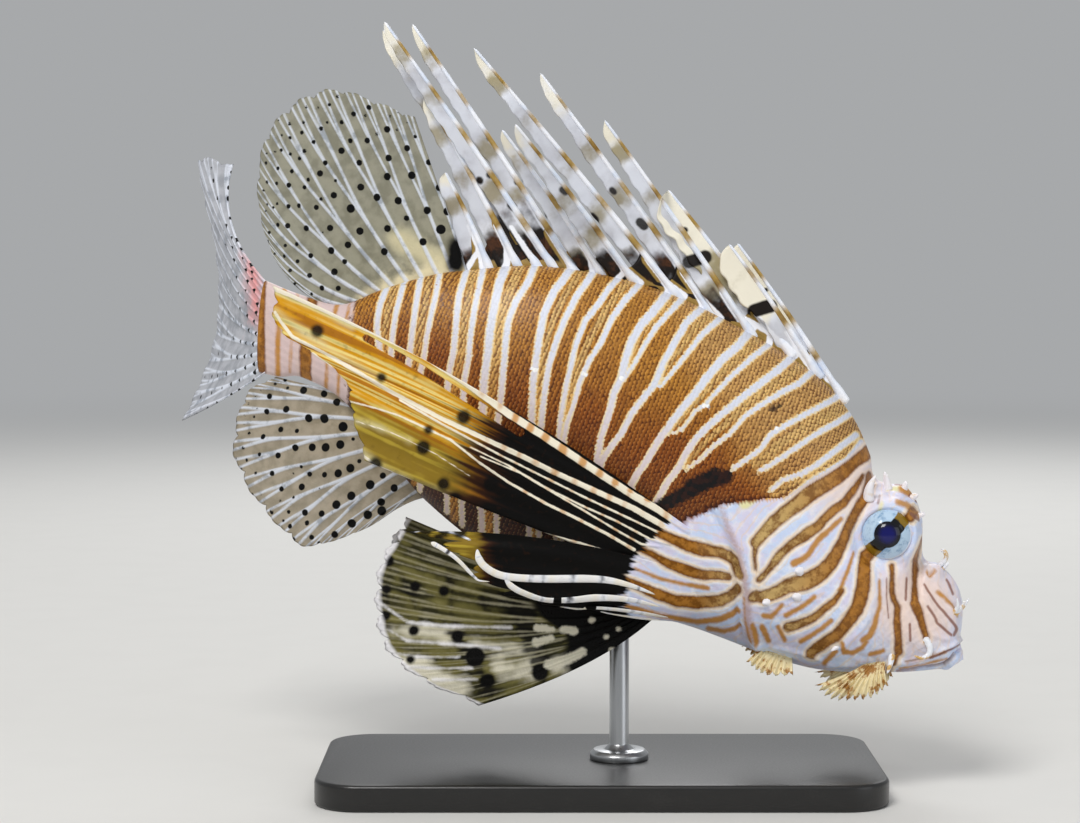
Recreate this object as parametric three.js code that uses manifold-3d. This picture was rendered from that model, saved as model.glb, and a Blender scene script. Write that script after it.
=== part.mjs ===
// Red lionfish, Pterois volitans, life size, swimming nose down on a plain display stand.
// The fish is shaped in its own frame: u forward to the snout, w to its left, v up to its back.
// A parent group then tips it nose down and lifts it over the stand. Millimetres, +Z up.
import * as THREE from 'three';
import * as BufferGeometryUtils from 'three/addons/utils/BufferGeometryUtils.js';
import Module from 'manifold-3d';

const wasm = await Module();
wasm.setup();

// Driving sizes of the pose and the stand
const NOSE_DOWN = THREE.MathUtils.degToRad(22.5);
const FISH_HEIGHT = 97.3;
const BASE_LENGTH = 170;
const BASE_WIDTH = 84;
const BASE_HEIGHT = 8;
const BASE_CORNER = 14;
const BASE_BEVEL = 1.2;
const ROD_RADIUS = 3;
const ROD_X = 6;
const ROD_TOP = 62;
const ROD_FOOT_RADIUS = 9;
const ROD_FOOT_HEIGHT = 3;
const GAP = 0.35;

// Outline of the body from the tail root to the snout: [distance along the body, height]
const TAIL_ROOT = -114;
const SNOUT = 123.5;
const BACK = [
  [TAIL_ROOT, 13], [-102, 13.4], [-89, 15.8], [-77.5, 26.3], [-65, 37], [-54, 43.6], [-41, 49.7],
  [-22, 54.8], [0, 57.3], [25, 55.7], [49.5, 51.5], [64.4, 44.6], [74.4, 35.4], [77.6, 30.2],
  [82, 29.4], [88, 30.8], [95.7, 24.4], [100.8, 13.3], [106, 13], [113.5, 9.1], [117.7, 2.7],
  [120.3, -6], [122.3, -8.6], [SNOUT, -11],
];
const BELLY = [
  [TAIL_ROOT, -15], [-106, -13.6], [-98, -10.8], [-81, -12.3], [-60, -22.7], [-43.5, -30.5],
  [-17, -37.7], [6.5, -39.5], [29, -38], [40, -34.8], [81.5, -32.2], [106, -23.3],
  [119.6, -15.9], [122, -13.6], [SNOUT, -11],
];
const HALF_WIDTH = [
  [TAIL_ROOT, 3.4], [-100, 5], [-80, 9], [-60, 13.5], [-30, 19.5], [0, 23.5], [30, 25.5],
  [55, 26.5], [72, 25.5], [88, 22.5], [100, 18], [110, 14], [118, 9.5], [122, 5], [SNOUT, 1],
];
const WIDEST = [[TAIL_ROOT, 0], [-60, 6], [0, 6], [40, 2], [66, -6], [90, -9], [110, -9], [SNOUT, -11]];
const BACK_FULLNESS = [[TAIL_ROOT, 0.9], [40, 1.05], [75, 1.25], [95, 1.35], [SNOUT, 0.9]];
const BELLY_FULLNESS = 0.85;
const BODY_AROUND = 26;
const BODY_ALONG = 38;
const BODY_CROWDING = 1.45;
const GILL_CUT = 62;
const TAIL_CUT = -62;

// Sideways bend: the tail swings to the fish's left and the head turns to its right
const TAIL_BEND_START = -15;
const TAIL_BEND = 22;
const TAIL_BEND_LENGTH = 98;
const STRAIGHT_BEHIND = -113;
const HEAD_BEND_START = 55;
const HEAD_BEND = 9;
const HEAD_BEND_LENGTH = 69;
const SLANT_START = -60;
const SLANT_END = -113;
const SLANT = 0.33;

// Eyes and mouth
const EYE_RADIUS = 7.9;
const EYE_ALONG = 87.3;
const EYE_SIDE = 12.2;
const EYE_HEIGHT = 15.4;
const EYE_AROUND = 16;
const EYE_ROWS = 10;
const MOUTH_FRONT = [122.5, -8.2];
const MOUTH_CORNER = [107, -22.7];

// Thirteen dorsal spines: [root along the back, length, lean back, splay to the left, width]
const SPINES = [
  [58, 55, 56, 2, 6], [48, 46, 56, -3, 6.5], [37.5, 60, 58, 2, 8], [25.3, 77, 57, -3, 4.6],
  [12, 88, 58, 2, 4], [1, 96, 62, -4, 3.8], [-12.6, 62, 60, -20, 3.8], [-22.5, 54, 57, -18, 3.8],
  [-31, 90, 56, 4, 3.8], [-37, 90, 57, -2, 3.8], [-41.6, 87, 56, 3, 3.8], [-47, 59, 51, -2, 4.2],
  [-55, 32, 47, 1, 5],
];
const SPINE_THICKNESS = 1.8;
const SPINE_ROOT = 4;
const SPINE_TIP_WIDTH = 1.4;
const WEB_HEIGHT = 8;
const WEB_LEAN = 0.8;
const WEB_THICKNESS = 1.2;
const WEB_STEPS = 12;

// Fins as fans of rays, each curve from the first ray to the last: [u, w, v]
const FIN_THICKNESS = 0.9;
const FIN_SINK = 2.5;
const FAN_ROWS = 4;
const FLAP_ROWS = 2;
const SOFT_DORSAL = {
  root: [[-59, 0, 38.5], [-77, 0, 23.5], [-91, 0, 13]],
  tips: [[-93, 0, 77], [-106, 0, 77], [-120, 0, 75.6], [-129.5, 0, 67.8], [-134.5, 0, 55],
    [-131, 0, 38], [-122, 0, 24.5], [-112, 0, 16.6], [-104, 0, 15.2]],
  rays: 12,
  notch: 0.03,
};
const ANAL = {
  root: [[-43, 0, -27], [-60, 0, -19.5], [-80, 0, -9.5]],
  tips: [[-51, 0, -33], [-58, 0, -44], [-67, 0, -53], [-75, 0, -58.3], [-86, 0, -55.5],
    [-97, 0, -50.2], [-106.6, 0, -42], [-110, 0, -31], [-109.5, 0, -21], [-103, 0, -13.6]],
  rays: 10,
  notch: 0.04,
};
const TAIL_FIN = {
  root: [[-115, 20.5, 11.5], [-111, 20.5, -1], [-106.5, 20, -14]],
  bow: [[-142, 52, 20], [-134, 46, 14], [-129, 42, 4], [-122, 42, -8], [-119, 38, -20], [-115.5, 34.5, -27.6]],
  tips: [[-143, 45, 42], [-156, 61, 39], [-151, 68, 28.7], [-143, 74, 16], [-136, 78, 1],
    [-131, 76, -14], [-129.5, 72, -30], [-129.2, 62, -42.4]],
  rays: 13,
  notch: 0.03,
};
const PECTORAL_UPPER = {
  root: [[42, 22, -3], [45, 21.5, -11], [46, 18.5, -20]],
  bow: [[-34, 38, 10], [-24, 38, -4], [-10, 36, -22]],
  tips: [[-110, 34, 15], [-105, 34, 4.5], [-91.5, 34, 1], [-80, 34, -3], [-75, 34, -10.5],
    [-66, 34, -22]],
  rays: 8,
  notch: 0.12,
};
const PECTORAL_LOWER = {
  root: [[46, 19, -17], [47, 15, -26], [46, 9, -31]],
  bow: [[-2, 36.2, -19], [12, 32, -33], [25, 24, -36]],
  tips: [[-44.7, 36, -39], [-32, 36, -37.5], [-18, 33, -43], [-3, 27, -42], [10, 20, -38.5]],
  rays: 6,
  notch: 0.3,
};
const PELVIC = {
  root: [[33, 6.5, -34], [27, 7, -35.5], [20, 7, -36]],
  bow: [[23, 11, -55.5], [4, 14, -56], [-10, 14, -38.5]],
  tips: [[-7, 16, -79], [-28, 20, -77.5], [-40.6, 21, -72.2], [-47.5, 21, -62], [-51, 20, -50],
    [-49, 18, -38.5]],
  rays: 6,
  notch: 0.04,
};
const LIP_FLAP = {
  root: [[98.5, 11.5, -22], [102.5, 11.5, -19]],
  bow: [[92, 17, -29], [103.5, 17, -23]],
  tips: [[85, 17, -34.6], [91, 17, -36.5], [97.5, 17, -34.5], [103.5, 16, -31], [106.5, 15, -26]],
  rays: 7,
  notch: 0.3,
  rows: FLAP_ROWS,
};
const CHEEK_FLAP = {
  root: [[66, 11, -29.5], [75, 11.5, -28.5]],
  tips: [[62.5, 15.5, -36], [69, 16, -37.5], [78, 15, -34.5]],
  rays: 5,
  notch: 0.3,
  rows: FLAP_ROWS,
};
const PECTORAL_HINGE = 40;
const LEFT_PECTORAL_SPREAD = 0.12;
const LEFT_PECTORAL_REACH = 0.93;
const NOSE_FEELER = [[104.6, 4.2, 11], [105.2, 5, 14.2], [104.6, 6.2, 16.6]];
const LIP_FEELER = [[110.4, 11.2, -11.5], [111.2, 14.2, -14], [109.4, 14.6, -17]];
const FEELER_RADIUS = 0.6;

const COLOURS = {
  flank: 0x8a4b2a,
  face: 0xd9c2b4,
  eye: 0xb9cbd6,
  spine: 0xcfc0a4,
  web: 0x9b9477,
  pectoral: 0xa98a46,
  pelvic: 0x6f6350,
  flap: 0xb98f4e,
  base: 0x1d1c1b,
  rod: 0xb4b6b8,
};

// Smooth function through rising [place, value] pairs, flat beyond both ends
function profile(points) {
  const last = points.length - 1;
  const slopes = points.map((point, i) => {
    const before = points[Math.max(i - 1, 0)];
    const after = points[Math.min(i + 1, last)];
    return (after[1] - before[1]) / (after[0] - before[0]);
  });
  return (place) => {
    const x = THREE.MathUtils.clamp(place, points[0][0], points[last][0]);
    const found = points.findIndex((point) => point[0] >= x);
    const i = Math.max(found - 1, 0);
    const span = points[i + 1][0] - points[i][0];
    const f = (x - points[i][0]) / span;
    const rise = points[i + 1][1] - points[i][1];
    const lead = f * (1 - f) * ((1 - f) * slopes[i] - f * slopes[i + 1]);
    return points[i][1] + rise * f * f * (3 - 2 * f) + span * lead;
  };
}

const backAt = profile(BACK);
const bellyAt = profile(BELLY);
const halfWidthAt = profile(HALF_WIDTH);
const widestAt = profile(WIDEST);
const backFullnessAt = profile(BACK_FULLNESS);

// How fast the middle plane moves sideways along the body
function middleSlope(t) {
  const place = Math.max(t, STRAIGHT_BEHIND);
  const tail = Math.max(TAIL_BEND_START - place, 0) / TAIL_BEND_LENGTH ** 2;
  const head = Math.max(place - HEAD_BEND_START, 0) / HEAD_BEND_LENGTH ** 2;
  return -2 * (TAIL_BEND * tail + HEAD_BEND * head);
}

// Sideways place of the body's middle plane
function middle(t) {
  const place = Math.max(t, STRAIGHT_BEHIND);
  const tail = (Math.max(TAIL_BEND_START - place, 0) / TAIL_BEND_LENGTH) ** 2;
  const head = (Math.max(place - HEAD_BEND_START, 0) / HEAD_BEND_LENGTH) ** 2;
  return TAIL_BEND * tail - HEAD_BEND * head + middleSlope(t) * (t - place);
}

// Unit vectors of the bent body at t: forward and to the left
function heading(t) {
  const ahead = new THREE.Vector3(1, middleSlope(t), 0).normalize();
  return { ahead, left: new THREE.Vector3(-ahead.y, ahead.x, 0) };
}

// The tail root slants, so that its upper corner lies further back
function slant(t) {
  return SLANT * THREE.MathUtils.clamp((SLANT_START - t) / (SLANT_START - SLANT_END), 0, 1);
}

// Point at t along the body, w to its left and v up
function bodyPoint(t, w, v) {
  return new THREE.Vector3(t - slant(t) * v, middle(t), v).addScaledVector(heading(t).left, w);
}

// Point of a middle fin, given where it shows from the side
function finPoint(u, w, v) {
  return bodyPoint(u + slant(u) * v, w, v).setX(u - w * heading(u).ahead.y);
}

// Point given in place
function freePoint(u, w, v) {
  return new THREE.Vector3(u, w, v);
}

// Skin point at t along the body, at an angle from the crest of the back towards the left
function skinPoint(t, angle, grow) {
  const across = Math.sin(angle);
  const up = Math.cos(angle);
  const centre = widestAt(t);
  const reach = up > 0 ? backAt(t) - centre : centre - bellyAt(t);
  const fullness = up > 0 ? backFullnessAt(t) : BELLY_FULLNESS;
  const w = (halfWidthAt(t) + grow) * Math.sign(across) * Math.abs(across) ** fullness;
  return bodyPoint(t, w, centre + (reach + grow) * up);
}

// Closed solid for cutting and joining, turned right side out where it is inside out
function solid(geometry) {
  const bare = geometry.clone();
  bare.deleteAttribute('normal');
  bare.deleteAttribute('uv');
  const merged = BufferGeometryUtils.mergeVertices(bare, 1e-4);
  const corners = new Uint32Array(merged.index.array);
  const a = new THREE.Vector3();
  const b = new THREE.Vector3();
  const c = new THREE.Vector3();
  let volume = 0;
  for (let i = 0; i < corners.length; i += 3) {
    a.fromBufferAttribute(merged.attributes.position, corners[i]);
    b.fromBufferAttribute(merged.attributes.position, corners[i + 1]);
    c.fromBufferAttribute(merged.attributes.position, corners[i + 2]);
    volume += a.dot(b.cross(c));
  }
  if (volume < 0) corners.reverse();
  return new wasm.Manifold(new wasm.Mesh({
    numProp: 3,
    vertProperties: new Float32Array(merged.attributes.position.array),
    triVerts: corners,
  }));
}

// Geometry of a cut or joined solid
function geometryOf(manifold) {
  const mesh = manifold.getMesh();
  const geometry = new THREE.BufferGeometry();
  geometry.setAttribute('position', new THREE.BufferAttribute(mesh.vertProperties, 3));
  geometry.setIndex(new THREE.BufferAttribute(mesh.triVerts, 1));
  geometry.computeVertexNormals();
  return geometry;
}

// Whole flesh body as one closed skin, larger by a margin where it cuts its neighbours
function fleshBody(grow) {
  const geometry = new THREE.SphereGeometry(1, BODY_AROUND, BODY_ALONG);
  const position = geometry.attributes.position;
  const front = SNOUT + grow;
  const rear = TAIL_ROOT - grow;
  for (let i = 0; i < position.count; i += 1) {
    const polar = Math.acos(THREE.MathUtils.clamp(position.getY(i), -1, 1));
    const row = Math.round((polar / Math.PI) * BODY_ALONG);
    const angle = Math.atan2(position.getZ(i), position.getX(i));
    const f = THREE.MathUtils.clamp((row - 1) / (BODY_ALONG - 2), 0, 1);
    const t = front + (rear - front) * f ** BODY_CROWDING;
    const pole = row === 0 || row === BODY_ALONG;
    const point = pole ? bodyPoint(t, 0, widestAt(t)) : skinPoint(t, angle, grow);
    position.setXYZ(i, point.x, point.y, point.z);
  }
  return solid(geometry);
}

// Large block with one face at a point, reaching along a direction
function blockFrom(point, direction) {
  const reach = 200;
  const size = 400;
  const box = new THREE.BoxGeometry(reach, size, size);
  box.translate(reach / 2, 0, 0);
  box.applyQuaternion(new THREE.Quaternion().setFromUnitVectors(new THREE.Vector3(1, 0, 0), direction));
  box.translate(point.x, point.y, point.z);
  return solid(box);
}

function eyeBall(side, grow) {
  const ball = new THREE.SphereGeometry(EYE_RADIUS + grow, EYE_AROUND, EYE_ROWS);
  const centre = bodyPoint(EYE_ALONG, side * EYE_SIDE, EYE_HEIGHT);
  ball.rotateX(Math.PI / 2);
  ball.translate(centre.x, centre.y, centre.z);
  return solid(ball);
}

// Smooth curve through [u, w, v] points, with w mirrored, spread and set to a side
function guide(points, side) {
  const places = points.map(([u, w, v]) => new THREE.Vector3(u, w * side, v));
  return new THREE.CatmullRomCurve3(places, false, 'centripetal');
}

// Fin as a thin plate of rays that runs from its root curve, past a bow curve, to its tips
function fan({ root, bow, tips, rays, notch, rows = FAN_ROWS, side = 1, place = freePoint }) {
  const columns = rays * 2 - 2;
  const geometry = new THREE.BoxGeometry(1, 1, 1, columns, rows, 1);
  const position = geometry.attributes.position;
  const rootCurve = guide(root, side);
  const tipCurve = guide(tips, side);
  const bowCurve = bow ? guide(bow, side) : null;
  for (let i = 0; i < position.count; i += 1) {
    const s = position.getX(i) + 0.5;
    const between = Math.round(s * columns) % 2 === 1;
    const r = (position.getY(i) + 0.5) * (between ? 1 - notch : 1);
    const start = rootCurve.getPoint(s);
    const end = tipCurve.getPoint(s);
    const control = bowCurve ? bowCurve.getPoint(s) : start.clone().lerp(end, 0.5);
    const point = start.multiplyScalar((1 - r) ** 2);
    point.addScaledVector(control, 2 * r * (1 - r)).addScaledVector(end, r * r);
    const half = Math.sign(position.getZ(i)) * FIN_THICKNESS * 0.5;
    const posed = place(point.x, point.y + half, point.z);
    position.setXYZ(i, posed.x, posed.y, posed.z);
  }
  return solid(geometry);
}

// One flat dorsal spine with its own strip of skin behind it
function spineBlade([t, length, lean, splay, width]) {
  const outline = new THREE.Shape();
  outline.moveTo(-SPINE_TIP_WIDTH / 2, length);
  outline.lineTo(-width * 0.3, length * 0.62);
  outline.lineTo(-width * 0.3, -SPINE_ROOT);
  outline.lineTo(width * 0.7 + 1, -SPINE_ROOT);
  outline.lineTo(width * 0.7, length * 0.55);
  outline.lineTo(width * 0.45, length * 0.86);
  outline.lineTo(SPINE_TIP_WIDTH / 2, length);
  outline.closePath();
  const blade = new THREE.ExtrudeGeometry(outline, { depth: SPINE_THICKNESS, bevelEnabled: false });
  blade.translate(0, 0, -SPINE_THICKNESS / 2);
  const back = THREE.MathUtils.degToRad(lean);
  const out = THREE.MathUtils.degToRad(splay);
  const { ahead, left } = heading(t);
  const up = new THREE.Vector3(0, 0, 1);
  const trail = ahead.clone().multiplyScalar(-Math.cos(back)).addScaledVector(up, -Math.sin(back));
  const rise = ahead.clone().multiplyScalar(-Math.sin(back)).addScaledVector(up, Math.cos(back));
  rise.multiplyScalar(Math.cos(out)).addScaledVector(left, Math.sin(out));
  const across = new THREE.Vector3().crossVectors(trail, rise);
  const crest = bodyPoint(t, 0, backAt(t));
  blade.applyMatrix4(new THREE.Matrix4().makeBasis(trail, rise, across).setPosition(crest));
  return solid(blade);
}

// Low web of skin that joins the spines along the back
function spineWeb() {
  const front = SPINES[0][0] + 2;
  const rear = SPINES[SPINES.length - 1][0] - 4;
  const geometry = new THREE.BoxGeometry(1, 1, 1, WEB_STEPS, 1, 1);
  const position = geometry.attributes.position;
  for (let i = 0; i < position.count; i += 1) {
    const s = position.getX(i) + 0.5;
    const t = rear + (front - rear) * s;
    const taper = Math.min(1, 0.3 + 8 * s, 0.3 + 8 * (1 - s));
    const rise = position.getY(i) > 0 ? WEB_HEIGHT * taper : -FIN_SINK;
    const { ahead, left } = heading(t);
    const point = bodyPoint(t, 0, backAt(t));
    point.z += rise;
    point.addScaledVector(ahead, -Math.max(rise, 0) * WEB_LEAN);
    point.addScaledVector(left, Math.sign(position.getZ(i)) * WEB_THICKNESS * 0.5);
    position.setXYZ(i, point.x, point.y, point.z);
  }
  return solid(geometry);
}

// Short round feeler along a curve on the head
function feeler(points, side) {
  const path = new THREE.CatmullRomCurve3(points.map(([t, w, v]) => bodyPoint(t, w * side, v)));
  const section = new THREE.Shape();
  section.absarc(0, 0, FEELER_RADIUS, 0, Math.PI * 2);
  const options = { steps: 4, curveSegments: 3, bevelEnabled: false, extrudePath: path };
  return solid(new THREE.ExtrudeGeometry(section, options));
}

function standBase() {
  const x = BASE_LENGTH / 2 - BASE_CORNER;
  const y = BASE_WIDTH / 2 - BASE_CORNER;
  const radius = BASE_CORNER - BASE_BEVEL;
  const outline = new THREE.Shape();
  outline.absarc(x, y, radius, 0, Math.PI / 2);
  outline.absarc(-x, y, radius, Math.PI / 2, Math.PI);
  outline.absarc(-x, -y, radius, Math.PI, Math.PI * 1.5);
  outline.absarc(x, -y, radius, Math.PI * 1.5, Math.PI * 2);
  const geometry = new THREE.ExtrudeGeometry(outline, {
    depth: BASE_HEIGHT - 2 * BASE_BEVEL,
    bevelThickness: BASE_BEVEL,
    bevelSize: BASE_BEVEL,
    bevelSegments: 1,
    curveSegments: 5,
  });
  geometry.translate(0, 0, BASE_BEVEL);
  return geometry;
}

// Rod with a round foot, as a turned profile
function standRod() {
  const profilePoints = [
    [0, 0], [ROD_FOOT_RADIUS, 0], [ROD_FOOT_RADIUS, ROD_FOOT_HEIGHT - 1],
    [ROD_FOOT_RADIUS - 1, ROD_FOOT_HEIGHT], [ROD_RADIUS, ROD_FOOT_HEIGHT],
    [ROD_RADIUS, ROD_TOP - BASE_HEIGHT], [0, ROD_TOP - BASE_HEIGHT],
  ];
  const geometry = new THREE.LatheGeometry(profilePoints.map(([x, y]) => new THREE.Vector2(x, y)), 24);
  geometry.rotateX(Math.PI / 2);
  geometry.translate(ROD_X, 0, BASE_HEIGHT);
  return geometry;
}

const fish = new THREE.Group();
fish.rotation.y = NOSE_DOWN;
fish.position.z = FISH_HEIGHT;
fish.updateMatrix();

const model = new THREE.Group();
model.add(fish);

function addMesh(group, name, geometry, color, roughness = 0.5, metalness = 0) {
  const mesh = new THREE.Mesh(geometry, new THREE.MeshStandardMaterial({ color, roughness, metalness }));
  mesh.name = name;
  group.add(mesh);
}

// Flesh, parted by thin cuts
const flesh = fleshBody(0);
const guard = fleshBody(GAP);
const forward = new THREE.Vector3(1, 0, 0);
const backward = new THREE.Vector3(-1, 0, 0);
const mouthCorner = new THREE.Vector3(MOUTH_CORNER[0], 0, MOUTH_CORNER[1]);
const mouthFront = new THREE.Vector3(MOUTH_FRONT[0], 0, MOUTH_FRONT[1]);
const mouthRun = mouthFront.sub(mouthCorner).normalize();
const jawWay = new THREE.Vector3(mouthRun.z, 0, -mouthRun.x);
const ahead = flesh.intersect(blockFrom(new THREE.Vector3(GILL_CUT + GAP, 0, 0), forward));
let head = ahead.subtract(blockFrom(mouthCorner, jawWay));
for (const side of [-1, 1]) {
  head = head.subtract(eyeBall(side, GAP));
}
const lowerJaw = ahead.intersect(blockFrom(mouthCorner.clone().addScaledVector(jawWay, GAP), jawWay));
const behind = flesh.subtract(blockFrom(new THREE.Vector3(GILL_CUT, 0, 0), forward));
const trunk = behind.subtract(blockFrom(new THREE.Vector3(TAIL_CUT, 0, 0), backward));
const tail = behind.intersect(blockFrom(new THREE.Vector3(TAIL_CUT - GAP, 0, 0), backward));
addMesh(fish, 'head', geometryOf(head), COLOURS.face);
addMesh(fish, 'lower_jaw', geometryOf(lowerJaw), COLOURS.face);
addMesh(fish, 'trunk', geometryOf(trunk), COLOURS.flank);
addMesh(fish, 'tail', geometryOf(tail), COLOURS.flank);

// Fins along the middle plane
let spinyDorsal = spineWeb();
for (const spine of SPINES) {
  spinyDorsal = spinyDorsal.add(spineBlade(spine));
}
const softDorsal = fan({ ...SOFT_DORSAL, place: finPoint });
const anal = fan({ ...ANAL, place: finPoint });
const tailFin = fan(TAIL_FIN);
addMesh(fish, 'spiny_dorsal_fin', geometryOf(spinyDorsal.subtract(guard)), COLOURS.spine);
addMesh(fish, 'soft_dorsal_fin', geometryOf(softDorsal.subtract(guard)), COLOURS.web);
addMesh(fish, 'anal_fin', geometryOf(anal.subtract(guard)), COLOURS.web);
addMesh(fish, 'tail_fin', geometryOf(tailFin.subtract(guard)), COLOURS.web);

// The left pectoral is held a little further out, on the inner side of the body's bend
function spreadPectoral(u, w, v) {
  const beyond = Math.max(PECTORAL_HINGE - u, 0);
  return new THREE.Vector3(u + beyond * (1 - LEFT_PECTORAL_REACH), w + beyond * LEFT_PECTORAL_SPREAD, v);
}

for (const [side, label] of [[-1, 'right'], [1, 'left']]) {
  const place = side > 0 ? spreadPectoral : freePoint;
  const upper = fan({ ...PECTORAL_UPPER, side, place });
  const lower = fan({ ...PECTORAL_LOWER, side, place });
  addMesh(fish, `eye_${label}`, geometryOf(eyeBall(side, 0)), COLOURS.eye, 0.1);
  addMesh(fish, `pectoral_fin_${label}`, geometryOf(upper.add(lower).subtract(guard)), COLOURS.pectoral);
  addMesh(fish, `pelvic_fin_${label}`, geometryOf(fan({ ...PELVIC, side }).subtract(guard)), COLOURS.pelvic);
  const trims = {
    lip_flap: fan({ ...LIP_FLAP, side, place: bodyPoint }),
    cheek_flap: fan({ ...CHEEK_FLAP, side, place: bodyPoint }),
    nose_feeler: feeler(NOSE_FEELER, side),
    lip_feeler: feeler(LIP_FEELER, side),
  };
  for (const [name, trim] of Object.entries(trims)) {
    addMesh(fish, `${name}_${label}`, geometryOf(trim.subtract(guard)), COLOURS.flap);
  }
}

// Stand
const guardInPlace = solid(geometryOf(guard).applyMatrix4(fish.matrix));
addMesh(model, 'stand_base', standBase(), COLOURS.base, 0.35);
addMesh(model, 'stand_rod', geometryOf(solid(standRod()).subtract(guardInPlace)), COLOURS.rod, 0.3, 0.9);

export default model;
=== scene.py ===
"""Red lionfish, Pterois volitans, life size, swimming nose down on a plain display stand.

The fish is shaped in its own frame, u forward to the snout, w to its left and v up to its back, in
millimetres. Pose turns that frame into the object's own, in metres. Markings are courses in the photo's
pixels, read where the skin shows through PhotoCamera, and the left side mirrors them.
"""

import logging
import math
from dataclasses import dataclass
from enum import Enum
from typing import Callable, Optional, Sequence, Union

import bmesh
import bpy
import numpy as np
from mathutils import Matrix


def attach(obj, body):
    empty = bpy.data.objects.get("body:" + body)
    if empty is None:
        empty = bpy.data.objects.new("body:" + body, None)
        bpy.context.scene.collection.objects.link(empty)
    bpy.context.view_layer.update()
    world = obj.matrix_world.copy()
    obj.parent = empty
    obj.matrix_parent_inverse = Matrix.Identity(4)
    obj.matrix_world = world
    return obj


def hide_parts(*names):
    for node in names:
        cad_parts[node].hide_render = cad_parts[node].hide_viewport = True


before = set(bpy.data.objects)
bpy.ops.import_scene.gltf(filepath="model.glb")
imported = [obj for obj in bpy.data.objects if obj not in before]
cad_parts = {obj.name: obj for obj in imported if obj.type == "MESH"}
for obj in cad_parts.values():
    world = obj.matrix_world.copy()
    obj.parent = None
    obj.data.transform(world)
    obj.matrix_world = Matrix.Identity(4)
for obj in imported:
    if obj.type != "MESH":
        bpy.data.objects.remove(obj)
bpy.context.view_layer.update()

LOG = logging.getLogger("lionfish")
COAT_MAP = "OFBake"
BODY = "root"
MM = 0.001
MERGE = 2e-7
FLAT = 1e-6
TINY = 1e-12
FAR = 99.0
SEED = 11

Array = np.ndarray
Shape = Callable[[Array, Array], Array]


class Side(Enum):
    """Side of the fish, with the sign of w on it."""

    RIGHT = -1
    LEFT = 1

    @property
    def label(self) -> str:
        """Ending of a node's name on this side."""
        return self.name.lower()


# Numbers and vectors


def smooth(value: Array, low: float, high: float) -> Array:
    """Smooth step from 0 at low to 1 at high.

    Args:
        value: what is compared.
        low: where the step starts; it may be above high.
        high: where the step ends.

    Returns:
        The step at each value.
    """
    f = np.clip((value - low) / (high - low), 0.0, 1.0)
    return f * f * (3.0 - 2.0 * f)


def unit(vectors: Array) -> Array:
    """Vectors of length 1 in the same directions."""
    return vectors / np.maximum(np.linalg.norm(vectors, axis=-1, keepdims=True), TINY)


def ripple(*phases: Array) -> Array:
    """Smooth uneven wave between about -1 and 1 from a few phases."""
    return sum(np.sin(phase) for phase in phases) / len(phases)


def dip(value: Array, middle: float, width: float) -> Array:
    """Bell curve of height 1 round a middle."""
    return np.exp(-(((value - middle) / width) ** 2))


def shut(share: Array, start: float, end: float) -> Array:
    """1 along a share from 0 to 1, and down to 0 before start and after end."""
    return smooth(share, 0, start) * smooth(share, 1, end)


def two_faced(across: Array) -> tuple:
    """Share across a sheet whose grid goes over one face and back over the other, and which face it is."""
    return 1 - np.abs(across * 2 - 1), np.where(across > 0.5, 1.0, -1.0)


@dataclass(frozen=True)
class Profile:
    """Smooth curve through rising (place, value) pairs, flat beyond both ends."""

    points: tuple

    def __call__(self, place: Array) -> Array:
        """Value at each place.

        Args:
            place: where the curve is read.

        Returns:
            The values.
        """
        xs, ys = np.array(self.points, float).T
        last = len(xs) - 1
        before = np.maximum(np.arange(last + 1) - 1, 0)
        after = np.minimum(np.arange(last + 1) + 1, last)
        slopes = (ys[after] - ys[before]) / (xs[after] - xs[before])
        x = np.clip(np.asarray(place, float), xs[0], xs[-1])
        i = np.clip(np.searchsorted(xs, x) - 1, 0, last - 1)
        span = xs[i + 1] - xs[i]
        f = (x - xs[i]) / span
        rise = ys[i + 1] - ys[i]
        lead = f * (1 - f) * ((1 - f) * slopes[i] - f * slopes[i + 1])
        return ys[i] + rise * f * f * (3 - 2 * f) + span * lead


class Guide:
    """Centripetal Catmull-Rom curve through points, read from 0 at the first to 1 at the last."""

    SHORTEST = 1e-4

    def __init__(self, points: Sequence) -> None:
        """Keeps the points with one more beyond each end.

        Args:
            points: the points, two or more.
        """
        inner = np.array(points, float)
        first = 2 * inner[0] - inner[1]
        last = 2 * inner[-1] - inner[-2]
        self.points = np.vstack([first, inner, last])
        self.spans = len(inner) - 1

    def __call__(self, share: Array) -> Array:
        """Point at each share of the way, counted in spans.

        Args:
            share: shares of the way, from 0 to 1.

        Returns:
            The points.
        """
        place = np.clip(share, 0, 1) * self.spans
        i = np.minimum(place.astype(int), self.spans - 1)
        f = (place - i)[:, None]
        p0, p1, p2, p3 = (self.points[i + k] for k in range(4))
        d0, d1, d2 = (
            np.maximum(np.linalg.norm(b - a, axis=1, keepdims=True) ** 0.5, self.SHORTEST)
            for a, b in ((p0, p1), (p1, p2), (p2, p3))
        )
        t1 = ((p1 - p0) / d0 - (p2 - p0) / (d0 + d1) + (p2 - p1) / d1) * d1
        t2 = ((p2 - p1) / d1 - (p3 - p1) / (d1 + d2) + (p3 - p2) / d2) * d1
        c2 = -3 * p1 + 3 * p2 - 2 * t1 - t2
        c3 = 2 * p1 - 2 * p2 + t1 + t2
        return p1 + t1 * f + c2 * f**2 + c3 * f**3


# The fish's frame, the body's form and the photo's camera


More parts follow.
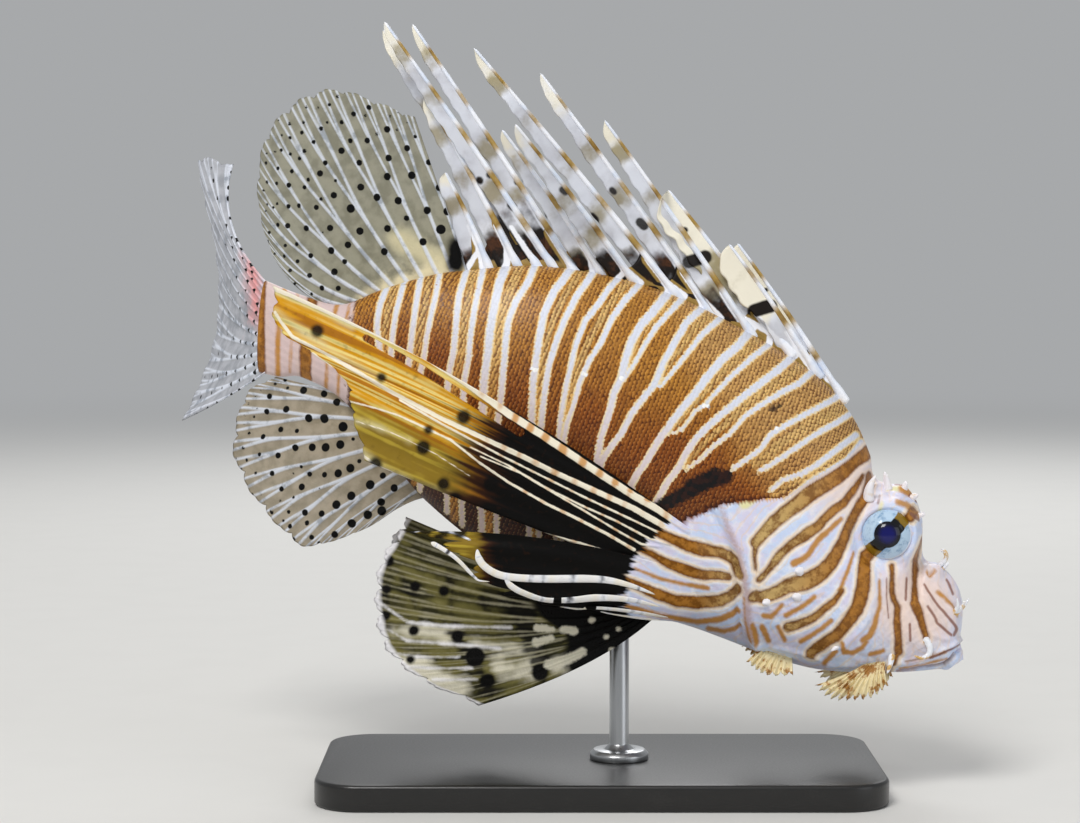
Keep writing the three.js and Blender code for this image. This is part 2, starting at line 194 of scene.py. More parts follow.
@dataclass(frozen=True)
class Pose:
    """How the fish is held over the stand."""

    nose_down: float = math.radians(22.5)
    height: float = 97.3

    def world(self, points: Array) -> Array:
        """Points of the fish's frame, in the object's frame in metres.

        Args:
            points: places in the fish's frame.

        Returns:
            Places in metres.
        """
        u, w, v = points.T
        c, s = math.cos(self.nose_down), math.sin(self.nose_down)
        return np.stack([u * c + v * s, w, self.height - u * s + v * c], 1) * MM

    def fish(self, places: Array) -> Array:
        """Places of the object's frame in metres, in the fish's frame.

        Args:
            places: places in metres.

        Returns:
            Places in the fish's frame.
        """
        x, w, z = places.T / MM
        z = z - self.height
        c, s = math.cos(self.nose_down), math.sin(self.nose_down)
        return np.stack([x * c - z * s, w, x * s + z * c], 1)


POSE = Pose()


@dataclass(frozen=True)
class Body:
    """Form of the flesh from the tail root to the snout, in millimetres."""

    tail_root: float = -114.0
    snout: float = 123.5
    back: Profile = Profile((
        (-114, 13), (-102, 13.4), (-89, 15.8), (-77.5, 26.3), (-65, 37), (-54, 43.6), (-41, 49.7),
        (-22, 54.8), (0, 57.3), (25, 55.7), (49.5, 51.5), (64.4, 44.6), (74.4, 35.4), (77.6, 30.2),
        (82, 29.4), (88, 30.8), (95.7, 24.4), (100.8, 13.3), (106, 13), (113.5, 9.1), (117.7, 2.7),
        (120.3, -6), (122.3, -8.6), (123.5, -11),
    ))
    belly: Profile = Profile((
        (-114, -15), (-106, -13.6), (-98, -10.8), (-81, -12.3), (-60, -22.7), (-43.5, -30.5),
        (-17, -37.7), (6.5, -39.5), (29, -38), (40, -34.8), (81.5, -32.2), (106, -23.3),
        (119.6, -15.9), (122, -13.6), (123.5, -11),
    ))
    half_width: Profile = Profile((
        (-114, 3.4), (-100, 5), (-80, 9), (-60, 13.5), (-30, 19.5), (0, 23.5), (30, 25.5),
        (55, 26.5), (72, 25.5), (88, 22.5), (100, 18), (110, 14), (118, 9.5), (122, 5), (123.5, 1),
    ))
    widest: Profile = Profile((
        (-114, 0), (-60, 6), (0, 6), (40, 2), (66, -6), (90, -9), (110, -9), (123.5, -11),
    ))
    back_fullness: Profile = Profile(((-114, 0.9), (40, 1.05), (75, 1.25), (95, 1.35), (123.5, 0.9)))
    belly_fullness: float = 0.85
    tail_bend_start: float = -15.0
    tail_bend: float = 22.0
    tail_bend_length: float = 98.0
    straight_behind: float = -113.0
    head_bend_start: float = 55.0
    head_bend: float = 9.0
    head_bend_length: float = 69.0
    slant_start: float = -60.0
    slant_end: float = -113.0
    slant_most: float = 0.33
    least_depth: float = 1.0
    measure_rounds: int = 6

    def middle_slope(self, t: Array) -> Array:
        """How fast the middle plane moves sideways along the body.

        Args:
            t: places along the body.

        Returns:
            The slopes.
        """
        place = np.maximum(t, self.straight_behind)
        tail = np.maximum(self.tail_bend_start - place, 0) / self.tail_bend_length**2
        head = np.maximum(place - self.head_bend_start, 0) / self.head_bend_length**2
        return -2 * (self.tail_bend * tail + self.head_bend * head)

    def middle(self, t: Array) -> Array:
        """Sideways place of the middle plane.

        Args:
            t: places along the body.

        Returns:
            The places.
        """
        place = np.maximum(t, self.straight_behind)
        tail = (np.maximum(self.tail_bend_start - place, 0) / self.tail_bend_length) ** 2
        head = (np.maximum(place - self.head_bend_start, 0) / self.head_bend_length) ** 2
        return self.tail_bend * tail - self.head_bend * head + self.middle_slope(t) * (t - place)

    def ahead(self, t: Array) -> Array:
        """Unit vector forward along the bent body."""
        slope = self.middle_slope(np.asarray(t, float))
        return unit(np.stack([np.ones_like(slope), slope, np.zeros_like(slope)], -1))

    def left(self, t: Array) -> Array:
        """Unit vector to the fish's left."""
        ahead = self.ahead(t)
        return np.stack([-ahead[..., 1], ahead[..., 0], ahead[..., 2]], -1)

    def slant(self, t: Array) -> Array:
        """Lean of the tail root, whose upper corner lies further back."""
        share = (self.slant_start - t) / (self.slant_start - self.slant_end)
        return self.slant_most * np.clip(share, 0, 1)

    def point(self, t: Array, w: Array, v: Array) -> Array:
        """Point at t along the body, w to its left and v up.

        Args:
            t: places along the body.
            w: how far to the left of the middle plane.
            v: how far up.

        Returns:
            The points in the fish's frame.
        """
        t, w, v = np.broadcast_arrays(*(np.asarray(n, float) for n in (t, w, v)))
        start = np.stack([t - self.slant(t) * v, self.middle(t), v], -1)
        return start + self.left(t) * w[..., None]

    def fin_point(self, points: Array) -> Array:
        """Places of a middle fin's points, given where they show from the side.

        Args:
            points: where they show from the side.

        Returns:
            The points in the fish's frame.
        """
        u, w, v = points.T
        placed = self.point(u + self.slant(u) * v, w, v)
        placed[:, 0] = u - w * self.ahead(u)[:, 1]
        return placed

    def skin(self, t: Array, angle: Array, grow: float = 0.0) -> Array:
        """Skin point at t, at an angle from the crest of the back towards the left.

        Args:
            t: place along the body.
            angle: 0 at the crest, a quarter turn on the left side, half a turn at the belly.
            grow: how far the skin lies outside the outline.

        Returns:
            The points in the fish's frame.
        """
        across, up = np.sin(angle), np.cos(angle)
        centre = self.widest(t)
        reach = np.where(up > 0, self.back(t) - centre, centre - self.belly(t))
        fullness = np.where(up > 0, self.back_fullness(t), self.belly_fullness)
        spread = (self.half_width(t) + grow) * np.sign(across) * np.abs(across) ** fullness
        return self.point(t, spread, centre + (reach + grow) * up)

    def frame_at(self, t: Array, angle: Array, grow: float = 0.0) -> tuple:
        """Skin points with the directions forward, round the body and outward, all of length 1.

        Args:
            t: places along the body.
            angle: angles from the crest round the body.
            grow: how far outside the outline.

        Returns:
            The points and the three directions.
        """
        along, around = 0.2, 0.01
        here = self.skin(t, angle, grow)
        forward = self.skin(t + along, angle, grow) - self.skin(t - along, angle, grow)
        turned = self.skin(t, angle + around, grow) - self.skin(t, angle - around, grow)
        return here, unit(forward), unit(turned), unit(np.cross(forward, turned))

    def height_share(self, t: Array, v: Array) -> Array:
        """Share of the body's depth below v, 0 at the belly and 1 at the crest."""
        return (v - self.belly(t)) / np.maximum(self.back(t) - self.belly(t), self.least_depth)

    def measures(self, points: Array) -> tuple:
        """Place along, across and up the body of points in the fish's frame.

        Args:
            points: places in the fish's frame.

        Returns:
            The three measures.
        """
        u, y, v = points.T
        t = u + self.slant(u) * v
        w = np.zeros_like(t)
        for _ in range(self.measure_rounds):
            left = self.left(t)
            w = (y - self.middle(t)) / left[:, 1]
            t = u - left[:, 0] * w + self.slant(t) * v
        return t, w, v

    def mirrored(self, points: Array) -> Array:
        """The same points on the body's other side."""
        t, w, v = self.measures(points)
        return self.point(t, -w, v)


FLESH = Body()


@dataclass(frozen=True)
class PhotoCamera:
    """The camera at the photo's angle, and where things show in its picture."""

    width: float = 1080.0
    height: float = 823.0
    scale: float = 0.304
    distance: float = 800.0
    elevation: float = math.radians(3.5)
    origin_pixel: float = 600.0
    floor_pixel: float = 788.0
    sensor: float = 36.0
    clip_start: float = 0.01

    @property
    def focal(self) -> float:
        """Focal length in pixels."""
        return self.distance / self.scale

    @property
    def place(self) -> Array:
        """Place of the camera in the object's frame, in metres.

        Returns:
            The place.
        """
        x = (self.width / 2 - self.origin_pixel) * self.scale
        z = (self.floor_pixel - self.height / 2) * self.scale
        back = self.distance * math.cos(self.elevation)
        return np.array([x, -back, z + self.distance * math.sin(self.elevation)]) * MM

    def pixels(self, places: Array) -> Array:
        """Where places of the object's frame show in the photo.

        Args:
            places: places in metres.

        Returns:
            Pixels across and down.
        """
        dx, dy, dz = (places - self.place).T
        c, s = math.cos(self.elevation), math.sin(self.elevation)
        deep = dy * c - dz * s
        up = dy * s + dz * c
        across = self.width / 2 + self.focal * dx / deep
        down = self.height / 2 - self.focal * up / deep
        return np.stack([across, down], 1)

    def at(self, pixel: Sequence[float], y: float) -> Array:
        """Place that shows at a pixel and lies at y, in metres.

        Args:
            pixel: the pixel, across and down.
            y: place along the object's Y axis in metres.

        Returns:
            The place in metres.
        """
        across = (pixel[0] - self.width / 2) / self.focal
        down = (self.height / 2 - pixel[1]) / self.focal
        c, s = math.cos(self.elevation), math.sin(self.elevation)
        ray = np.array([across, c + down * s, -s + down * c])
        return self.place + ray * (y - self.place[1]) / ray[1]

    def build(self) -> bpy.types.Object:
        """Makes the camera and gives it to the scene.

        Returns:
            The camera.
        """
        data = bpy.data.cameras.new("photo_camera")
        data.sensor_fit = "HORIZONTAL"
        data.sensor_width = self.sensor
        data.lens = self.focal / self.width * self.sensor
        data.clip_start = self.clip_start
        camera = bpy.data.objects.new("photo_camera", data)
        camera.location = self.place
        camera.rotation_euler = (math.pi / 2 - self.elevation, 0, 0)
        bpy.context.scene.collection.objects.link(camera)
        bpy.context.scene.camera = camera
        return camera


PHOTO = PhotoCamera()


# Courses drawn on the photo


@dataclass(frozen=True)
class Stroke:
    """A painted or raised line: its course and its width at both ends, in the photo's pixels."""

    course: Array
    width: float
    end_width: float
    height: float = 0.0
    margin: float = 30.0
    fall: float = 1.6

    def distance(self, pixels: Array) -> Array:
        """Distance of pixels from the line's edge, negative inside it.

        Args:
            pixels: places in the photo.

        Returns:
            The distances in millimetres at the fish, or FAR beyond the margin in pixels.
        """
        best = np.full(len(pixels), FAR / PHOTO.scale)
        reach = self.margin + max(self.width, self.end_width)
        low, high = self.course.min(0) - reach, self.course.max(0) + reach
        near = np.flatnonzero(np.all((pixels > low) & (pixels < high), 1))
        spots = pixels[near]
        steps = np.linalg.norm(np.diff(self.course, axis=0), axis=1)
        done = np.concatenate([[0], np.cumsum(steps)]) / steps.sum()
        found = best[near]
        for a, b, start, end in zip(self.course, self.course[1:], done, done[1:]):
            f = np.clip((spots - a) @ (b - a) / ((b - a) @ (b - a)), 0, 1)
            off = spots - a - f[:, None] * (b - a)
            share = start + (end - start) * f
            half = (self.width + (self.end_width - self.width) * share) / 2
            found = np.minimum(found, np.hypot(off[:, 0], off[:, 1]) - half)
        best[near] = found
        return np.minimum(best * PHOTO.scale, FAR)

    def swell(self, pixels: Array) -> Array:
        """Height in millimetres that the line adds, rounded across.

        Args:
            pixels: places in the photo.

        Returns:
            The heights.
        """
        half = max(self.width, self.end_width) * PHOTO.scale / 2
        centre = np.maximum(self.distance(pixels) / half + 1, 0)
        return self.height * np.exp(-self.fall * centre**2)


def stroke(text: str, width: float, end_width: Optional[float] = None, height: float = 0.0) -> Stroke:
    """Stroke along pixels written as "x,y x,y ..."."""
    course = np.array([[float(n) for n in pair.split(",")] for pair in text.split()])
    return Stroke(course, width, width if end_width is None else end_width, height)


def nearest(strokes: Sequence[Stroke], pixels: Array) -> Array:
    """Distance of pixels from the nearest edge of several strokes, negative inside.

    Args:
        strokes: the lines.
        pixels: places in the photo.

    Returns:
        The distances in millimetres at the fish.
    """
    best = np.full(len(pixels), FAR)
    for line in strokes:
        best = np.minimum(best, line.distance(pixels))
    return best


def between(first: Stroke, second: Stroke) -> Stroke:
    """The thin bar down the middle of the space between two stripes.

    Args:
        first: the longer stripe.
        second: the stripe beside it.

    Returns:
        The bar.
    """
    share, least = 0.8, 2.0
    course, gaps = [], []
    for spot in second.course:
        offs = np.linalg.norm(first.course - spot, axis=1)
        i = int(offs.argmin())
        j = min(max(i + (1 if i == 0 else -1), 0), len(first.course) - 1)
        a, b = first.course[i], first.course[j]
        f = float(np.clip((spot - a) @ (b - a) / ((b - a) @ (b - a)), 0, 1))
        other = a + f * (b - a)
        course.append((spot + other) / 2)
        gaps.append(float(np.linalg.norm(other - spot)) - (first.width + second.width) / 2)
    half = len(gaps) // 2
    start, end = (max(float(np.mean(g)) * share, least) for g in (gaps[:half + 1], gaps[half:]))
    return Stroke(np.array(course), start, end)


# White stripes of the flank in pairs, from the tail forward to the head
STRIPE_PAIRS = (
    (stroke("387,283 379,305 377,318 376.5,328 380,353 384,400 387,450", 8.5, 7),
     stroke("404,278 401,288 395,313 392,335 390.6,354.5 392,400 396,462", 8, 7)),
    (stroke("419.6,276 416,296.5 413,321 411,338 408,368 407,410 408,475", 8.5, 7),
     stroke("438,274 435,293 429.6,318 426,338 423.7,358 419.6,376 418,420 420,490", 8, 7)),
    (stroke("466,270 459,295 457,310 455,335 453,354.5 448.6,374 447,393 445,440 447,512", 9, 7),
     stroke("482.6,269 478.5,288 473.5,313 470,338 468.5,358 464.4,378 462.7,401 461,450 462,525", 8.5, 7)),
    (stroke("507,263 499,283 493.4,310 490,330 487.6,354.5 484,379 482.6,412.5 480,460 482,540", 11.5, 8),
     stroke("536,263 527.4,283 515.8,301 508,321 505.8,338 504,361 501.7,388 497.5,422.5 495,470 497,552",
            9.5, 7)),
    (stroke("572,268 554,291.5 544,313 539,338 535.7,361 533,381 531.5,417.5 529,480 530,572", 10.5, 7),
     stroke("593,273 575.5,298 564,321 555.6,343 549,364.5 545.6,384 543,404 540.7,426 538,480 540,577",
            9.5, 6.5)),
    (stroke("624,272 608.7,289 597,306 585.4,320 575.5,344.6 571,364.5 565.5,388 561,414 559,434 556,490 "
            "556,585", 9, 5.5),
     stroke("641,283 626,299 612.5,318 601,343 589,361 579,384 574,404 567,424 564,441 562,500 563,588",
            9, 5.5)),
    (stroke("670,291 656.5,308 641,325.5 632,341 626,358 622,377 614,394 609,415 601,438 597,461 590,510 "
            "588,600", 11.5, 6),
     stroke("685,296 672,310 656.5,327 645,345 635.5,362 624,380", 9, 6)),
    (stroke("704,307 687,322 676,341 664,362 654.6,385 645,396 632,413.5 622,433 609,450 601,463 604,500 "
            "612,606", 10, 6.5),
     stroke("721,318 702,335 687,354 672,373 660,387", 9, 6)),
    (stroke("754,327 739,345 722,360 706,379 695,394 683,408 670,425 658,442 647,461 637,475 632,484 "
            "630,530 636,615", 11.5, 7),
     stroke("771,333 769,345 752,358 733,375 718,390.5 706,404 695,412 683,429 671,434", 9, 5)),
    (stroke("796,354 783,366 764,381 744.5,396 725,412 710,425 697,438 687,452 679.5,467 668,482 "
            "656.5,501.5 655,560 660,618", 10.5, 7),
     stroke("813,371 800,383 779,394 760,406 744.5,417 731,433 714,446 699,461 687,469", 9, 5.5)),
    (stroke("844,392 829,402 810,412 790,423 771,434.5 760,450 744.5,461 733,469", 9, 7),
     stroke("852,412 836,423 813,436 790,452 771,465 760,471", 8.5, 7)),
    (stroke("855.5,434.5 836,450 817,465 804,473 783,480 771,490", 9, 7),
     stroke("861,442 848,459 829,471 810,482 790,498 771,511 760,522.5", 9.5, 8)),
)
WHITE_STRIPES = tuple(line for pair in STRIPE_PAIRS for line in pair)
THIN_BARS = tuple(between(*pair) for pair in STRIPE_PAIRS)

# Brown bands on the white ground of the head, the fin base and the tail root
BROWN_BANDS = (
    stroke("873,446 865.5,454.6 854.3,462.4 841.4,473.6 827.7,483 813.9,490.8", 12, 17),
    stroke("813.9,490.8 800.1,502 786.3,511.5 774.3,521.8 763.9,533 755.5,542.5", 17, 11),
    stroke("755.5,542.5 754.6,556 755.5,570", 6, 3),
    stroke("863,476 856.9,485.6 850.9,493.4 844.9,502 835.4,508.9 827.7,515.8 818.2,526.1 805.3,535.6",
           6, 11),
    stroke("805.3,535.6 793.2,543.3 779.4,555.2 771.7,565.5 764.8,574.1 758.8,580.1", 11, 6),
    stroke("869,475 868.5,483 865.5,495.1 859.5,505.4 853.5,517.5 848.3,527.8 844.9,537.3", 7, 11),
    stroke("844.9,537.3 838,552 831.1,562.9 822.5,572.4 813.9,577.6", 11, 17.5),
    stroke("813.9,577.6 805.3,581.9 788,586.2 779.4,591.3 770.8,594.8 762.2,597.4 754,597", 17.5, 11.5),
    stroke("842,591 834.5,600.8 827.7,606 820.8,612 813.9,618 807,621.5 798.4,624.9 788,627.5",
           6, 10),
    stroke("867,556 864.5,566 863.8,574.1 862.9,586.2 860.4,598.2", 12, 15),
    stroke("860.4,598.2 856.9,608.5 850.9,618 844,627.5 835.4,636.1", 15, 12.5),
    stroke("835.4,636.1 826.8,641.3 819,646.4 811,653", 12.5, 9.5),
    stroke("907,516 910.5,512", 11), stroke("872,552 866,559", 12, 13),
    stroke("892.3,566 892.3,580 892.3,592 894.6,600.7 897.8,607.1", 5, 7),
    stroke("897.8,607.1 897,618.3 897.8,629.4 898.6,640.6 898.6,652", 7, 8.5),
    stroke("897,655 893.8,660 889.9,665.3 887.5,673.3", 5, 6),
    stroke("921.4,539.6 918,549.6 915,560 914.7,584.4 915,603.9", 4, 8),
    stroke("915,603.9 919.4,614.3 922.5,624.6 924.9,632.6 926.5,638", 9.5, 6),
    stroke("739,575 733.8,560 720,552.3 701.5,550", 9, 14),
    stroke("701.5,550 687.7,545.4 676,540.8 655,531 636,522", 14, 7),
    stroke("728,577 720,575.4 703.8,575.4 687.7,570.8", 8, 12),
    stroke("687.7,570.8 669.2,563.8 653,554.6 632,545", 12, 6),
    stroke("737,590 730,596 720,600.8 699.2,603 676.2,600.8", 10, 13),
    stroke("676.2,600.8 655.4,593.8 641.5,587 618,577", 13, 7),
    stroke("262,272 260,300 259,330 261,376", 10, 10),
    stroke("314,290 309,320 305,350 306,384", 11, 11),
    stroke("372,287 367,305 363,330 361,360 359,400 362,434", 19, 19),
)
# Thin golden lines between the bands
THIN_LINES = (
    stroke("841,519 827,532 819,539 813.9,545.9 808,555 801.8,559.5 794,563", 5, 7),
    stroke("853.5,553 848.3,568.9 844,579.3 840,590", 4, 5),
    stroke("814.7,596.5 807.8,602.5 800.1,607.7 786,615", 5, 6),
    stroke("782,605 775.1,612.8 770.8,616.3 764,615.4", 5.5), stroke("848,628 838,640", 3, 4),
    stroke("831.1,620.6 822.5,627.5 813.9,633.5 801,641", 4.5, 6),
    stroke("879,580 879.5,594.3 879.5,607", 2.5, 4),
    stroke("879.5,607 877.1,614.3 874.7,624.6 869.9,635 862.8,640", 4.5, 7),
    stroke("842.3,643 844,651.6 853.5,652.5 862,647.3 866,642", 5), stroke("883,650.5 870,654.5", 4.5),
    stroke("836,651 824,663", 4, 5), stroke("901.5,488.5 909,493", 8),
    stroke("895.7,501.5 904.8,504.8 911.4,509.8 917,515.5", 6),
    stroke("936.9,592 944,598.3 951.2,605.5 956.8,611.9 956,615.9", 3.2),
    stroke("926,575 929,577.5 933,574", 2.5), stroke("752.8,624 757.5,640", 5),
    stroke("762.3,627 768.7,640", 6), stroke("778.3,627.1 784.6,640", 5),
    stroke("708,588 679.3,583 658.2,578 634,568", 5, 3),
    stroke("738,611 720,619.2 697,621.5 657.7,614.6 626,605.7", 6, 5),
    stroke("739.5,627 724.6,630.8 708.5,628.5", 5), stroke("744,596 746,620 752,640", 2, 3),
    stroke("776,523 784,514 792,508", 1.5, 1.5), stroke("906,660.5 925,657 944,651.5", 2.2, 2.2),
    stroke("900,668 925,664 946,658.5", 2.2, 2), stroke("285,288 281,310 278,340 278,374", 5),
    stroke("298,292 294,320 291,350 290,372", 2.5), stroke("340,296 333,320 328,350 326,388", 4),
    stroke("351,300 344,330 340,360 338,396", 2.5),
)
# Fine dark lines on the cheek, the lips and the brow
FINE_LINES = (
    stroke("925,522 921.4,539.6", 2.6, 3.5), stroke("905.4,578 905,600", 2.6),
    stroke("909.4,624 909.8,640", 2.8), stroke("886,578 886,596 888,618", 1.6, 1.6),
    stroke("924.1,584.8 930.5,595.1 937.7,605.5 945.7,614.3 952.8,623 956.8,628.6 953.6,635", 2.6, 3.2),
    stroke("927.3,606.3 933.7,615.9 936.9,623 943.3,628.6 951.2,635", 2.4, 3),
    stroke("946.5,580 949.6,586.4 952.8,594.3", 2.6),
    stroke("929.7,656.5 937.7,654.1 945.7,651 952.8,647.8 959.2,643.8", 2.6),
    stroke("897,670.9 909.8,669.3 921.7,666.9 933.7,665.7 943.3,663.7 949.6,658.9 953.6,653.3", 3),
    stroke("909.8,496 918,501.5", 4), stroke("908.5,512.5 917,519.5", 3.4),
    stroke("895,484.5 901,485", 2.2), stroke("876,503 879,495", 2),
)
# Pale yellow patches on the nape, by the eye and on the cheek
YELLOW_PATCHES = (
    stroke("768,480.5 758,491.7 745,503", 13), stroke("745,478 735,497", 3), stroke("738,484 739,486", 5),
    stroke("732,496 735,500", 4), stroke("879.5,503 877.5,514", 3.5), stroke("888,489.5 899,488.5", 5),
    stroke("897,640 897,654", 0.5),
)
# Shade along the rear edge of the gill cover
FOLD_SHADES = (
    stroke("722,508 729,529 738.5,550 744.2,573 747.7,596 747.7,614 750,633", 4, 10),
)
# Painted shadow in the axil over the root of the pectoral fin, and black spots on the flank
AXIL_SHADOW_AND_BLACK_SPOTS = (
    stroke("660,507 685,494 705,483 725,477", 12, 15), stroke("690,486 715,474", 11),
    stroke("772,409 774,409", 4), stroke("779,406 780,406", 3),
)
# Painted highlights: white glints on single scales of the flank
GLINTS = (
    stroke("532,369 536,370", 4), stroke("583,373 587,375", 3.5),
    stroke("620,377 624,378", 3.5), stroke("705,406 709,407", 4), stroke("776,429 778,429", 3),
)
# Pink wash at the root of the tail fin
PINK_PATCHES = (stroke("236,255 246,270 252,284", 16, 10),)

# Raised folds and grooves of the head
HEAD_RELIEF = (
    stroke("880,664 903,662 927,657.5 948,650 960,640", 7, 6, 0.9),
    stroke("897,671.5 909.8,669.8 921.7,667.5 933.7,666 943.3,664 950.5,659 957,651.5 963,646",
           2.6, 2.6, -1.8),
    stroke("900,676 920,675 938,672 948,667 956,658", 5, 6, 0.7),
    stroke("905,661 929.7,656.5 937.7,654.1 945.7,651 952.8,647.8 961,642.5", 2.4, 2.4, -0.7),
    stroke("884,664 870,658 856,656", 4, 6, -0.6), stroke("872,668 850,665 828,665", 5, 6, 0.6),
    stroke("722,508 729,529 738.5,550 744.2,573 747.7,596 747.7,614 750,633 762,652", 9, 11, 1.2),
    stroke("712,512 722,532 731,552 736.5,573 737,596 736,612 742,640", 5, 5, -1.2),
    stroke("754,560 755,575 757,600", 4, 4, -0.5),
    stroke("872,570 876,592 872,612 860,632 842,648", 7, 7, 0.4),
    stroke("904,572 906,600 910,640", 9, 9, 0.35), stroke("886,575 886,600 888,640", 7, 7, 0.3),
    stroke("928,572 936,571", 19, 19, 1.7), stroke("929,575.5 930.5,575.5", 5, 5, -1.8),
    stroke("926,596 934,612 944,626", 6, 6, 0.5), stroke("936,586 948,602 955,618", 6, 6, 0.5),
    stroke("918,608 930,634 948,640", 6, 6, 0.35), stroke("920,560 921,600 930,640", 3, 3, -0.6),
    stroke("862,505 870,488 884,483 898,485 912,494 921,506", 8, 7, 1.2),
    stroke("889,493 902,497 913,504", 4.5, 4.5, 0.8), stroke("897,484.5 908,489.5 917,496", 5, 5, 0.8),
    stroke("893,500 905,505 917,515", 4, 4, 0.7), stroke("893,489 905,493.5 918,501.5", 2, 2, -0.5),
    stroke("760,606 775,602 795,594 812,587", 5, 5, 0.4), stroke("756,644 790,650 820,659", 5, 5, 0.6),
)


# Finishes


def rgba(code: str) -> tuple:
    """Linear colour of an sRGB hex code.

    Args:
        code: the colour as #rrggbb.

    Returns:
        Red, green, blue and an alpha of 1.
    """
    shades = (int(code[i:i + 2], 16) / 255 for i in (1, 3, 5))
    linear = (c / 12.92 if c <= 0.04045 else ((c + 0.055) / 1.055) ** 2.4 for c in shades)
    return (*linear, 1.0)


class Amount:
    """A number that varies over a surface. Python's operators on it add Math nodes to its paint."""

    def __init__(self, paint: "Paint", socket: bpy.types.NodeSocket) -> None:
        """Wraps a socket of a paint's nodes."""
        self.paint = paint
        self.socket = socket

    def __add__(self, other: "Number") -> "Amount":
        """Sum."""
        return self.paint.math("ADD", self, other)

    __radd__ = __add__

    def __sub__(self, other: "Number") -> "Amount":
        """Difference."""
        return self.paint.math("SUBTRACT", self, other)

    def __rsub__(self, other: "Number") -> "Amount":
        """Difference from a number."""
        return self.paint.math("SUBTRACT", other, self)

    def __mul__(self, other: "Number") -> "Amount":
        """Product."""
        return self.paint.math("MULTIPLY", self, other)

    __rmul__ = __mul__


Number = Union[Amount, float]
Tint = Union[str, bpy.types.NodeSocket]


class Paint:
    """A material made of nodes. It ends in one Principled shader."""

    def __init__(self, name: str) -> None:
        """Starts an empty material.

        Args:
            name: the material's name.
        """
        self.material = bpy.data.materials.new(name)
        self.material.use_nodes = True
        self.tree = self.material.node_tree
        self.tree.nodes.clear()

    def node(self, kind: str, settings: Optional[dict] = None,
             inputs: Optional[dict] = None) -> bpy.types.Node:
        """Adds a node.

        Args:
            kind: the node's type.
            settings: its own settings, set first.
            inputs: values or links of its sockets, by name or number.

        Returns:
            The node.
        """
        made = self.tree.nodes.new(kind)
        for key, value in (settings or {}).items():
            setattr(made, key, value)
        for key, value in (inputs or {}).items():
            value = value.socket if isinstance(value, Amount) else value
            if isinstance(value, str):
                value = rgba(value)
            if isinstance(value, bpy.types.NodeSocket):
                self.tree.links.new(value, made.inputs[key])
            else:
                made.inputs[key].default_value = value
        return made

    def math(self, operation: str, *terms: Number) -> Amount:
        """Adds a Math node on numbers."""
        made = self.node("ShaderNodeMath", {"operation": operation}, dict(enumerate(terms)))
        return Amount(self, made.outputs[0])

    def field(self, name: str) -> Amount:
        """The number that the points of a mesh carry under a name."""
        made = self.node("ShaderNodeAttribute", {"attribute_name": name})
        return Amount(self, made.outputs["Fac"])

    def place(self) -> bpy.types.NodeSocket:
        """Coordinates of the object."""
        return self.node("ShaderNodeTexCoord").outputs["Object"]

    def noise(self, scale: float, detail: float = 2.0, stretch: Optional[tuple] = None) -> Amount:
        """Soft noise about 0, with its size set by scale and drawn out by stretch.

        Args:
            scale: how fine the noise is.
            detail: how many finer layers it has.
            stretch: how it is scaled along each axis.

        Returns:
            The noise.
        """
        where = self.place()
        if stretch:
            where = self.node("ShaderNodeMapping", inputs={"Vector": where, "Scale": stretch}).outputs[0]
        made = self.node("ShaderNodeTexNoise", inputs={"Vector": where, "Scale": scale, "Detail": detail})
        return Amount(self, made.outputs["Fac"]) - 0.5

    def step(self, value: Amount, low: float, high: float) -> Amount:
        """Smooth step from 0 at low to 1 at high.

        Args:
            value: what is compared.
            low: where the step starts; it may be above high.
            high: where the step ends.

        Returns:
            The step.
        """
        made = self.node(
            "ShaderNodeMapRange", {"interpolation_type": "SMOOTHSTEP"},
            {"Value": value, "From Min": low, "From Max": high},
        )
        return Amount(self, made.outputs["Result"])

    def mix(self, share: Number, first: Tint, second: Tint, blend: str = "MIX") -> bpy.types.NodeSocket:
        """Mixes two colours by a share of the second.

        Args:
            share: share of the second colour.
            first: the colour at a share of 0.
            second: the colour at a share of 1.
            blend: how the second colour goes on the first.

        Returns:
            The mixed colour.
        """
        made = self.node(
            "ShaderNodeMix", {"data_type": "RGBA", "blend_type": blend, "clamp_factor": True},
            {0: share, 6: first, 7: second},
        )
        return made.outputs[2]

    def lay(self, ground: Tint, colour: Tint, value: Amount, low: float, high: float,
            most: float = 1.0) -> bpy.types.NodeSocket:
        """Lays a colour over another where a value goes from low to high.

        Args:
            ground: the colour below.
            colour: the colour on top.
            value: what is compared.
            low: where the colour starts; it may be above high.
            high: where it is full.
            most: how much of the ground it then covers.

        Returns:
            The mixed colour.
        """
        share = self.step(value, low, high)
        return self.mix(share if most == 1.0 else share * most, ground, colour)

    def bump(self, height: Amount, distance: float, strength: float = 1.0) -> bpy.types.NodeSocket:
        """Normal that follows a height, with the depth of 1 in metres."""
        inputs = {"Height": height, "Distance": distance, "Strength": strength}
        return self.node("ShaderNodeBump", inputs=inputs).outputs["Normal"]

    def finish(self, **sockets: Union[Number, Tint, tuple]) -> bpy.types.Material:
        """Ends the nodes in a Principled shader.

        Args:
            sockets: values or links by socket name, with _ for spaces.

        Returns:
            The material.
        """
        inputs = {name.replace("_", " "): value for name, value in sockets.items()}
        shader = self.node("ShaderNodeBsdfPrincipled", inputs=inputs)
        self.node("ShaderNodeOutputMaterial", inputs={"Surface": shader.outputs[0]})
        return self.material


